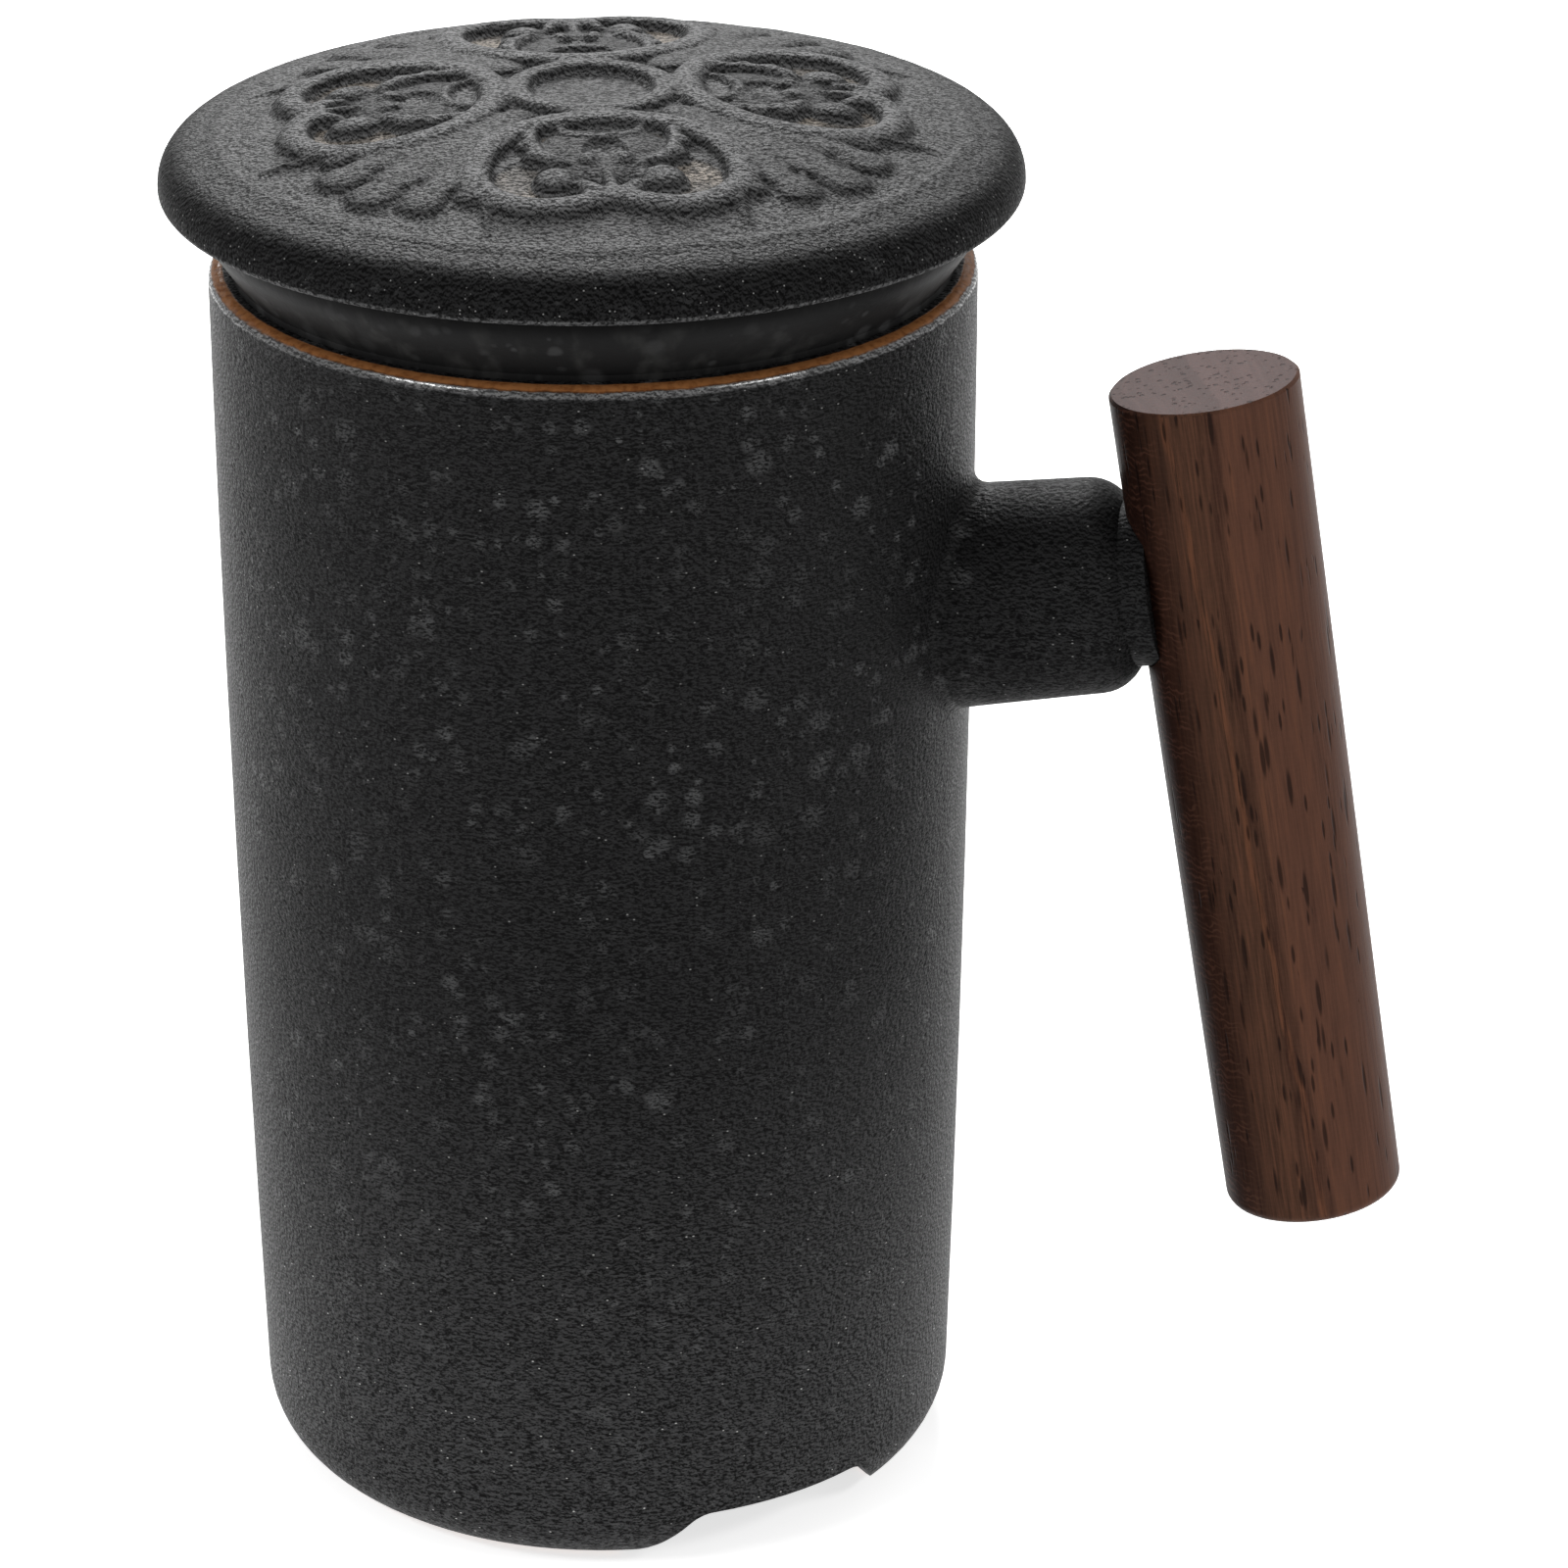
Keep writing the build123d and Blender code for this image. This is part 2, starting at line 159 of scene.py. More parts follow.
STROKE_STEP = 0.12 * MM
FULL_STROKE = 2.6
STROKE_FULLNESS = {
    "Ribs": 0.26,
    "Frills": 0.6,
    "Drops": 0.5,
    "Stems": 0.3,
    "Hoods": 0.35,
    "Cups": 0.5,
    "Hollows": 0.3,
}
STROKE_HEIGHTS = {
    "Ribs": 1.1 * MM,
    "Frills": 1.05 * MM,
    "Drops": 1.0 * MM,
    "Stems": 0.75 * MM,
    "Hoods": 0.6 * MM,
    "Hollows": -0.4 * MM,
}
CARVING_START = 1.0 * MM
MIDDLE_REACH = (0.17, 0.3)
MIDDLE_SHARE = 0.78
UNEVENNESS = 0.2 * MM
RIPPLE_SIZE = 4.5 * MM
EDGE_WAVE_HEIGHT = 0.15 * MM
EDGE_WAVE_REACH = 0.9
EDGE_WAVE_WIDTH = (0.028, 0.004)
EDGE_WAVE_WANDER = 0.07
EDGE_WAVE_WANDER_SIZE = 7 * MM
RELIEF_SOFTENING = 1

# Finishes. A ramp is (from, to), or (from, to, value before, value after).

# Grain of the glaze, in shares of its bump size. Its slopes towards a fixed side, up and back, get painted
# light in the colour, its far slopes and pits painted shade
PAINTED_LIGHT_SIDE = (0.0, 0.6, 0.8)
LIT_STEP = 0.45
PAINTED_LIT_SLOPE = (-0.15, 0.15)
BUMP_ROUGHNESS = 0.6
PIT_SCALE = 0.4
PIT_SHARE = 0.35
PIT_EDGE = (0.34, 0.12)
PIT_DEPTH = 0.4
SWELL_SCALE = 0.07
SWELL_HEIGHT = 0.8
# Painted glints: sparse small specks of bright colour that stand in for sparkles of light
GLINT_SCALE = 0.8
GLINT_EDGE = (0.24, 0.08)

# Flecks of the glaze: spacing, largest radius and share of each size
FLECK_SIZES = ((4.2 * MM, 0.42, 0.95), (3.0 * MM, 0.42, 0.85), (2.0 * MM, 0.4, 0.6))
FLECK_WOBBLE = 0.18
FLECK_WOBBLE_SCALE = 2.4
SMALLEST_FLECK = 0.35
FLECK_CORE = 0.45
FAINTEST_FLECK = 0.4
FLECK_CLOUD_SIZE = 14 * MM
FLECK_CLOUDS = (0.36, 0.6, 0.4, 1.0)

# Stoneware colours, and the sheens' index of refraction and specular level
BLACK_GLAZE = (0.0098, 0.0098, 0.0100)
PALE_FLECK = (0.043, 0.0435, 0.044)
SMEARED_FLECK = (0.032, 0.032, 0.031)
# Painted highlight: the colour of the painted glints
PAINTED_GLINT = (0.24, 0.24, 0.235)
# Grey of the lid's top; the lid stays black down its edge
TOP_GREY_GLAZE = (0.084, 0.084, 0.0845)
# Lighter crests, partly wear and partly a painted highlight; also the painted highlight on the lid's lower
# corner
WORN_AND_HIGHLIT_CREST = (0.098, 0.098, 0.099)
POCKET_DUST = (0.200, 0.172, 0.142)
# Painted glints, tinted by the dust in the hollows
DUST_TINTED_GLINT = (0.42, 0.34, 0.24)
CLAY = (0.27, 0.112, 0.038)
DARK_CLAY = (0.16, 0.056, 0.017)
IRON_SPECK_SIZE = 0.8 * MM
IRON_SPECKS = (0.4, 0.7)
MUG_SHEEN = (1.17, 0.35)
LID_SHEEN = (1.12, 0.25)
CREST_POLISH = 0.14

# Mug's glaze, its stub, its glossy lip and its bare clay
MUG_GRAIN_SIZE = 0.5 * MM
MUG_GRAIN_DRAW = (1.0, 1.0, 1.7)
MUG_GRAIN_DEPTH = 0.18 * MM
# Strength of the painted light and shade on the grain's slopes
MUG_GRAIN_CONTRAST = 1.85
# Share of grains that get a painted glint
MUG_GLINT_SHARE = 0.035
MUG_ROUGHNESS = 0.52
MUG_FLECKS = (5 * MM, 100 * MM, 0.12, 0.95)
# Painted light from the floor: the glaze grows up to 3.2 times lighter from 70 mm down to the foot
PAINTED_FLOOR_LIGHT = (70 * MM, 1 * MM, 1.0, 3.2)
STUB_START = (rim_radius + 1 * MM, rim_radius + 5 * MM)
STUB_FLECKS = 0.15
STUB_ROUGHNESS = 0.16
STUB_SMOOTHNESS = 0.45
CLAY_RIM = (rim_height - 0.5 * MM, rim_height - 0.28 * MM)
CLAY_FOOT = (0.75 * MM, 0.35 * MM)
CLAY_SMOOTHNESS = 0.9
CLAY_ROUGHNESS = 0.45
CLAY_DULLNESS = 0.85
EDGE_DRIFT = 0.36 * MM
EDGE_DRIFT_SIZE = 1.8 * MM
RIM_OUTSIDE = (rim_radius - 1.5 * MM, rim_radius - 1.2 * MM)
GLOSSY_LIP = (rim_height - 1.15 * MM, rim_height - 0.85 * MM)
LIP_EVEN_GLOSS = 0.2
LIP_ROUGHNESS = 0.2
LIP_IOR = 2.0

# Infuser's glaze
INFUSER_GRAIN_SIZE = 0.5 * MM
INFUSER_GRAIN_DEPTH = 0.03 * MM
INFUSER_FLECKS = 0.8
INFUSER_ROUGHNESS = 0.5
SMEAR_DRAW = (1.0, 1.0, 0.45)
SMEAR_SIZE = 2.6 * MM
SMEAR_EDGE = (0.5, 0.75)
SMEAR_STRENGTH = 0.7
SMEAR_ROUGHNESS = 0.1
# Painted shadow of the lid: the collar's top darkens to a tenth of its colour
PAINTED_LID_SHADOW = (collar_top - 2.6 * MM, collar_top - 1.0 * MM, 1.0, 0.1)

# Lid's glaze: relief is the carved height in shares of a rib's
LID_GRAIN_SIZE = 0.39 * MM
LID_GRAIN_DEPTH = 0.17 * MM
# Strength of the painted light and shade on the grain's slopes
LID_GRAIN_CONTRAST = 1.6
# Share of grains that get a painted glint, most on the lid's edge
LID_GLINT_SHARE = (edge_top, edge_top + 2 * MM, 0.2, 0.06)
LID_ROUGHNESS = 0.56
LID_FLECKS = 0.35
# Grey on the top, black down the edge below it
GREY_TOP = (carved_from, edge_top + 1.9 * MM, 0.0, 0.9)
# Lighter crests of the relief: partly wear, partly a painted highlight
WORN_AND_HIGHLIT_RELIEF = (0.68, 1.0, 0.0, 0.7)
# Painted shade on the flanks of the carved ridges
FLANK_FOOT = (0.06, 0.25)
FLANK_HEAD = (0.8, 0.45, 0.0, 0.55)
POCKET_RELIEF = (-0.05, -0.3)
PETALS_START = (0.17 * lid_radius, 0.22 * lid_radius)
# Painted shade in the medallion's dish
PAINTED_SHADE_MEDALLION = (0.155 * lid_radius, 0.12 * lid_radius, 0.0, 0.2)
DUST_CLOUD_SIZE = 4 * MM
DUST_CLOUDS = (0.35, 0.65, 0.3, 1.0)
DUST_STRENGTH = 0.7
# Painted highlight along the lid's lower corner
PAINTED_HIGHLIGHT_EDGE = (lid_seat + 0.75 * MM, lid_seat + 0.45 * MM, 0.0, 0.5)
PAINTED_HIGHLIGHT_EDGE_OUTSIDE = (lid_radius - 0.7 * MM, lid_radius - 0.4 * MM)

# Grip's hardwood
HEARTWOOD = [
    (0.36, (0.026, 0.0110, 0.0070)),
    (0.46, (0.056, 0.0265, 0.0160)),
    (0.55, (0.086, 0.0385, 0.0230)),
    (0.66, (0.126, 0.0520, 0.0270)),
]
REDDER_WOOD = (0.104, 0.046, 0.032)
RED_SIDE = (-1 * MM, 5 * MM, 0.0, 1.0)
RED_STRENGTH = 0.4
# Painted shade of the mug on the grip's side towards it, down to 8% of the wood's colour
PAINTED_SHADE_WOOD = (0.012, 0.005, 0.004)
PAINTED_SHADE_SIDE = (-7.2 * MM, -0.5 * MM, 0.08, 1.0)
RING_STEP = 3.2 * MM
RING_DETAIL = 5.0
RING_ROUGHNESS = 0.62
RING_TILT = 0.3
SWAY = 7 * MM
SWAY_DRAW = (1.0, 1.0, 0.25)
SWAY_SIZE = 14 * MM
FIBRE_DRAW = (1.0, 1.0, 0.045)
FIBRE_SIZE = 0.3 * MM
FIBRE_ROUGHNESS = 0.65
CURL = (0.17, 0.075, 0.05)
CURL_STEP = 0.7 * MM
CURL_WANDER = 18.0
CURL_WANDER_SIZE = 1.6 * MM
CURL_CREST = (0.1, 1.0)
CURL_SIDE = (-3.0 * MM, -5.0 * MM)
CURL_PATCH_SIZE = 2.5 * MM
CURL_PATCHES = (0.4, 0.6)
FAINT_CURL = 0.03
STRONG_CURL = 0.18
STREAK = (0.2, 0.075, 0.035)
STREAK_LEAN = 0.055
STREAK_SWAY = 2.4 * MM
STREAK_SWAY_SIZE = 12 * MM
STREAK_WIDTH = (0.5 * MM, 0.1 * MM)
STREAK_FIBRES = (0.35, 0.6)
STREAK_STRENGTH = 0.32
PORE = (0.007, 0.0035, 0.003)
PORE_SIZES = ((1.1 * MM, 0.12, 1.0), (0.7 * MM, 0.15, 0.8))
PORE_EDGE = (0.28, 0.14)
PORE_STRENGTH = 0.75
PORE_CLOUD_DRAW = (1.0, 1.0, 0.2)
PORE_CLOUD_SIZE = 4 * MM
PORE_CLOUDS = (0.4, 0.62)
SPARSE_PORES = 0.3
DARK_END_GRAIN = (0.050, 0.026, 0.023)
PALE_END_GRAIN = (0.094, 0.052, 0.047)
END_GRAIN_FIGURE = (0.4, 0.66)
END_GRAIN_FACE = (0.8, 0.97)
END_GRAIN_ROUGHNESS = 0.12
WOOD_ROUGHNESS = 0.32
FIBRE_DULLNESS = 0.2
FIBRE_HEIGHT = 0.5
WOOD_DEPTH = 0.06 * MM
WOOD_SHEEN = (1.3, 0.08)

# Stud's steel and its potting
DARK_STEEL = (0.42, 0.42, 0.43)
BRIGHT_STEEL = (0.62, 0.62, 0.62)
SCRATCH_DRAW = (0.1, 1.0, 1.0)
SCRATCH_SIZE = 0.2 * MM
SCRATCH_ROUGHNESS = 0.2
STEEL_ROUGHNESS = 0.25
HALF_THREAD = 0.4 * MM
THREAD_DEPTH = 0.25 * MM
DARK_POTTING = (0.36, 0.3, 0.2)
PALE_POTTING = (0.55, 0.5, 0.4)
POTTING_CLOUD_SIZE = 1.5 * MM
POTTING_CLOUD_ROUGHNESS = 0.3
POTTING_ROUGHNESS = 0.3
POTTING_DEPTH = 0.05 * MM


class Wiring:
    """Adds nodes to one node tree and feeds their sockets."""

    def __init__(self, tree):
        self.tree = tree

    def feed(self, socket, value):
        if isinstance(value, bpy.types.NodeSocket):
            self.tree.links.new(value, socket)
        else:
            socket.default_value = value

    def add(self, kind, inputs=None, **settings):
        made = self.tree.nodes.new(kind)
        for name, value in settings.items():
            setattr(made, name, value)
        for name, value in (inputs or {}).items():
            self.feed(made.inputs[name], value)
        return made

    def math(self, operation, *terms, clamp=False):
        made = self.add("ShaderNodeMath", operation=operation, use_clamp=clamp)
        for socket, value in zip(made.inputs, terms):
            self.feed(socket, value)
        return made.outputs[0]

    def rest(self, share):
        """What a share leaves of 1."""
        return self.math("SUBTRACT", 1.0, share)

    def greatest(self, values):
        top = values[0]
        for value in values[1:]:
            top = self.math("MAXIMUM", top, value)
        return top

    def vector(self, operation, *terms):
        made = self.add("ShaderNodeVectorMath", operation=operation)
        for socket, value in zip(made.inputs, terms):
            self.feed(socket, value)
        single = operation in ("LENGTH", "DISTANCE", "DOT_PRODUCT")
        return made.outputs["Value" if single else "Vector"]

    def scaled(self, vector, factor):
        return self.add(
            "ShaderNodeVectorMath", {"Vector": vector, "Scale": factor}, operation="SCALE"
        ).outputs["Vector"]

    def flat(self, vector):
        return self.vector("MULTIPLY", vector, (1.0, 1.0, 0.0))

    def from_axis(self, vector):
        """Distance from the mug's axis."""
        return self.vector("LENGTH", self.flat(vector))

    def split(self, vector):
        return self.add("ShaderNodeSeparateXYZ", {0: vector}).outputs

    def joined(self, x, y, z):
        return self.add("ShaderNodeCombineXYZ", {0: x, 1: y, 2: z}).outputs[0]

    def ramp(self, value, start, end, low=0.0, high=1.0):
        return self.add(
            "ShaderNodeMapRange",
            {"Value": value, "From Min": start, "From Max": end, "To Min": low, "To Max": high},
            interpolation_type="SMOOTHSTEP",
        ).outputs[0]

    def mix(self, share, first, second, blend="MIX"):
        made = self.add("ShaderNodeMix", data_type="RGBA", blend_type=blend)
        self.feed(made.inputs[0], share)
        self.feed(made.inputs[6], first)
        self.feed(made.inputs[7], second)
        return made.outputs[2]

    def toned(self, colour, factor):
        """Colour made darker or lighter by a factor."""
        return self.mix(1.0, colour, self.joined(factor, factor, factor), "MULTIPLY")

    def noise(self, vector, size, detail=2.0, roughness=0.5):
        return self.add(
            "ShaderNodeTexNoise",
            {"Vector": vector, "Scale": 1 / size, "Detail": detail, "Roughness": roughness},
        ).outputs["Fac"]

    def cells(self, vector, scale):
        """Scattered cells: the distance from each one's point, and three random values of its own."""
        made = self.add("ShaderNodeTexVoronoi", {"Vector": vector, "Scale": scale}).outputs
        return made["Distance"], self.split(made["Color"])

    def colours(self, value, stops):
        """Colour ramp with (place, colour) stops."""
        made = self.add("ShaderNodeValToRGB", {"Fac": value})
        elements = made.color_ramp.elements
        while len(elements) < len(stops):
            elements.new(1.0)
        for element, (place, colour) in zip(elements, stops):
            element.position = place
            element.color = rgba(colour)
        return made.outputs["Color"]


def rgba(colour):
    return (*colour, 1.0)


def group_tree(name, kind, inputs, outputs):
    """Node group with named sockets, its wiring, input sockets and output sockets."""
    tree = bpy.data.node_groups.new(name, kind)
    for socket_name, socket_type in inputs:
        tree.interface.new_socket(socket_name, in_out="INPUT", socket_type=socket_type)
    for socket_name, socket_type in outputs:
        tree.interface.new_socket(socket_name, in_out="OUTPUT", socket_type=socket_type)
    wiring = Wiring(tree)
    return tree, wiring, wiring.add("NodeGroupInput").outputs, wiring.add("NodeGroupOutput").inputs


# Shader groups that several finishes share


def grain_group():
    """Fine leathery grain of a matt glaze: its height, its slopes lit by painted light and its painted
    glints.
    """
    tree, w, given, result = group_tree(
        "glaze_grain",
        "ShaderNodeTree",
        [
            ("Vector", "NodeSocketVector"),
            ("Bump size", "NodeSocketFloat"),
            ("Glint share", "NodeSocketFloat"),
        ],
        [("Height", "NodeSocketFloat"), ("Painted lit slopes", "NodeSocketFloat"), ("Painted glints", "NodeSocketFloat")],
    )
    place = given["Vector"]
    scale = w.math("DIVIDE", 1.0, given["Bump size"])

    def bumps(where):
        return w.add(
            "ShaderNodeTexNoise",
            {"Vector": where, "Scale": scale, "Detail": 2.0, "Roughness": BUMP_ROUGHNESS},
        ).outputs["Fac"]

    # Painted light: the grain's slope towards a fixed side, up and back, found from two samples one step
    # apart
    step = w.scaled(PAINTED_LIGHT_SIDE, w.math("MULTIPLY", given["Bump size"], LIT_STEP))
    bump = bumps(place)
    slope = w.math("SUBTRACT", bump, bumps(w.vector("ADD", place, step)))
    pit_distance, pit_luck = w.cells(place, w.math("MULTIPLY", scale, PIT_SCALE))
    pit_kept = w.math("LESS_THAN", pit_luck["X"], PIT_SHARE)
    pits = w.math("MULTIPLY", w.ramp(pit_distance, *PIT_EDGE), pit_kept)
    swell = w.add("ShaderNodeTexNoise", {"Vector": place, "Scale": w.math("MULTIPLY", scale, SWELL_SCALE)})
    pitted = w.math("MULTIPLY_ADD", pits, -PIT_DEPTH, bump)
    glint_distance, glint_luck = w.cells(place, w.math("MULTIPLY", scale, GLINT_SCALE))
    bright = w.math("LESS_THAN", glint_luck["X"], given["Glint share"])
    w.feed(result["Height"], w.math("MULTIPLY_ADD", swell.outputs["Fac"], SWELL_HEIGHT, pitted))
    w.feed(result["Painted lit slopes"], w.math("MULTIPLY", w.ramp(slope, *PAINTED_LIT_SLOPE), w.rest(pits)))
    w.feed(result["Painted glints"], w.math("MULTIPLY", w.ramp(glint_distance, *GLINT_EDGE), bright))
    return tree


def spots_group():
    """Soft round flecks scattered through a glaze."""
    tree, w, given, result = group_tree(
        "glaze_spots",
        "ShaderNodeTree",
        [
            ("Vector", "NodeSocketVector"),
            ("Spacing", "NodeSocketFloat"),
            ("Spot size", "NodeSocketFloat"),
            ("Share", "NodeSocketFloat"),
        ],
        [("Mask", "NodeSocketFloat")],
    )
    scale = w.math("DIVIDE", 1.0, given["Spacing"])
    wobble = w.add(
        "ShaderNodeTexNoise",
        {"Vector": given["Vector"], "Scale": w.math("MULTIPLY", scale, FLECK_WOBBLE_SCALE), "Detail": 2.0},
    ).outputs["Color"]
    reach = w.math("MULTIPLY", given["Spacing"], FLECK_WOBBLE)
    shift = w.scaled(w.vector("SUBTRACT", wobble, (0.5, 0.5, 0.5)), reach)
    distance, luck = w.cells(w.vector("ADD", given["Vector"], shift), scale)
    share_of_size = w.math("MULTIPLY_ADD", luck["Y"], 1.0 - SMALLEST_FLECK, SMALLEST_FLECK)
    radius = w.math("MULTIPLY", given["Spot size"], share_of_size)
    fleck = w.ramp(distance, radius, w.math("MULTIPLY", radius, FLECK_CORE))
    kept = w.math("LESS_THAN", luck["X"], given["Share"])
    strength = w.math("MULTIPLY_ADD", luck["Z"], 1.0 - FAINTEST_FLECK, FAINTEST_FLECK)
    w.feed(result["Mask"], w.math("MULTIPLY", w.math("MULTIPLY", fleck, kept), strength))
    return tree


glaze_grain = grain_group()
glaze_spots = spots_group()

# Finishes of the pieces


def new_finish(name):
    """Empty material, its wiring, its Principled shader and its Object coordinates."""
    material = bpy.data.materials.new(name)
    material.use_nodes = True
    w = Wiring(material.node_tree)
    shader = material.node_tree.nodes["Principled BSDF"]
    return material, w, shader, w.add("ShaderNodeTexCoord").outputs["Object"]


def grain_of(w, coords, bump_size, glint_share):
    """Height, Crests and Glints of a glaze's grain."""
    return w.add(
        "ShaderNodeGroup",
        {"Vector": coords, "Bump size": bump_size, "Glint share": glint_share},
        node_tree=glaze_grain,
    ).outputs


def flecked_glaze(w, coords, strength):
    """Black glaze with pale flecks of several sizes, gathered in clouds."""
    spots = [
        w.add(
            "ShaderNodeGroup",
            {"Vector": coords, "Spacing": spacing, "Spot size": size, "Share": share},
            node_tree=glaze_spots,
        ).outputs["Mask"]
        for spacing, size, share in FLECK_SIZES
    ]
    clouds = w.ramp(w.noise(coords, FLECK_CLOUD_SIZE, 3.0), *FLECK_CLOUDS)
    flecks = w.math("MULTIPLY", w.math("MULTIPLY", w.greatest(spots), clouds), strength)
    return w.mix(flecks, rgba(BLACK_GLAZE), rgba(PALE_FLECK))


def grained(w, tone, grain, contrast, glint):
    """Tone with painted shade on the grain's far slopes and pits, painted light on its lit ones, and painted
    glints.
    """
    factor = w.math("MULTIPLY_ADD", grain["Painted lit slopes"], contrast, 1.0 - contrast / 2)
    return w.mix(grain["Painted glints"], w.toned(tone, factor), glint)


def clay_colour(w, coords):
    """Bare fired clay, brown with darker iron specks."""
    specks = w.ramp(w.noise(coords, IRON_SPECK_SIZE, 4.0, 0.6), *IRON_SPECKS)
    return w.mix(specks, rgba(CLAY), rgba(DARK_CLAY))


def set_sheen(shader, index, level):
    """Dull sheen of a matt surface: its index of refraction and its specular level."""
    shader.inputs["IOR"].default_value = index
    shader.inputs["Specular IOR Level"].default_value = level


def set_bump(w, shader, height, depth):
    bump = w.add("ShaderNodeBump", {"Strength": 1.0, "Distance": depth, "Height": height})
    w.feed(shader.inputs["Normal"], bump.outputs["Normal"])


def mug_stoneware():
    """Black flecked glaze with painted floor light near the foot, a glossy lip, a bare clay rim and a bare
    foot.
    """
    material, w, shader, coords = new_finish("mug_stoneware")
    height = w.split(coords)["Z"]
    radius = w.from_axis(coords)
    stub = w.ramp(radius, *STUB_START)
    off_stub = w.math("MULTIPLY_ADD", stub, STUB_FLECKS - 1.0, 1.0)
    tone = flecked_glaze(w, coords, w.math("MULTIPLY", w.ramp(height, *MUG_FLECKS), off_stub))
    grain = grain_of(w, w.vector("MULTIPLY", coords, MUG_GRAIN_DRAW), MUG_GRAIN_SIZE, MUG_GLINT_SHARE)
    rough_tone = grained(w, tone, grain, MUG_GRAIN_CONTRAST, rgba(PAINTED_GLINT))
    # Painted light from the floor, lighter towards the foot
    glaze = w.toned(rough_tone, w.ramp(height, *PAINTED_FLOOR_LIGHT))
    drift = w.math("MULTIPLY_ADD", w.noise(coords, EDGE_DRIFT_SIZE, 3.0), EDGE_DRIFT, -EDGE_DRIFT / 2)
    edge = w.math("ADD", height, drift)
    outside = w.ramp(w.math("ADD", radius, drift), *RIM_OUTSIDE)
    clay_rim = w.math("MULTIPLY", w.ramp(edge, *CLAY_RIM), outside)
    bare = w.math("MAXIMUM", clay_rim, w.ramp(edge, *CLAY_FOOT))
    w.feed(shader.inputs["Base Color"], w.mix(bare, glaze, clay_colour(w, coords)))
    rough_body = w.math("MULTIPLY_ADD", grain["Painted lit slopes"], -CREST_POLISH, MUG_ROUGHNESS)
    rough_glaze = w.math("MULTIPLY_ADD", stub, STUB_ROUGHNESS, rough_body)
    rough_clay = w.math("MULTIPLY", bare, CLAY_ROUGHNESS)
    w.feed(shader.inputs["Roughness"], w.math("MAXIMUM", rough_glaze, rough_clay))
    lip = w.math("MULTIPLY", w.ramp(edge, *GLOSSY_LIP), outside)
    glazed_lip = w.math("MULTIPLY", lip, w.math("MULTIPLY_ADD", bare, -CLAY_DULLNESS, 1.0))
    broken_gloss = w.math("MULTIPLY_ADD", grain["Painted lit slopes"], 1.0 - LIP_EVEN_GLOSS, LIP_EVEN_GLOSS)
    w.feed(shader.inputs["Coat Weight"], w.math("MULTIPLY", glazed_lip, broken_gloss))
    shader.inputs["Coat Roughness"].default_value = LIP_ROUGHNESS
    shader.inputs["Coat IOR"].default_value = LIP_IOR
    set_sheen(shader, *MUG_SHEEN)
    smooth_clay = w.math("MULTIPLY", bare, CLAY_SMOOTHNESS)
    smooth = w.math("MAXIMUM", smooth_clay, w.math("MULTIPLY", stub, STUB_SMOOTHNESS))
    set_bump(w, shader, w.math("MULTIPLY", grain["Height"], w.rest(smooth)), MUG_GRAIN_DEPTH)
    return material


def infuser_stoneware():
    """Smoother black glaze with faint, smeared flecks, and a painted shadow that darkens its top under the
    lid.
    """
    material, w, shader, coords = new_finish("infuser_stoneware")
    tone = flecked_glaze(w, coords, INFUSER_FLECKS)
    grain = grain_of(w, coords, INFUSER_GRAIN_SIZE, 0.0)
    smears = w.ramp(w.noise(w.vector("MULTIPLY", coords, SMEAR_DRAW), SMEAR_SIZE, 3.0), *SMEAR_EDGE)
    mottled = w.mix(w.math("MULTIPLY", smears, SMEAR_STRENGTH), tone, rgba(SMEARED_FLECK))
    # Painted shadow under the lid
    painted_lid_shadow = w.ramp(w.split(coords)["Z"], *PAINTED_LID_SHADOW)
    w.feed(shader.inputs["Base Color"], w.toned(mottled, painted_lid_shadow))
    w.feed(shader.inputs["Roughness"], w.math("MULTIPLY_ADD", smears, SMEAR_ROUGHNESS, INFUSER_ROUGHNESS))
    set_sheen(shader, *MUG_SHEEN)
    set_bump(w, shader, grain["Height"], INFUSER_GRAIN_DEPTH)
    return material


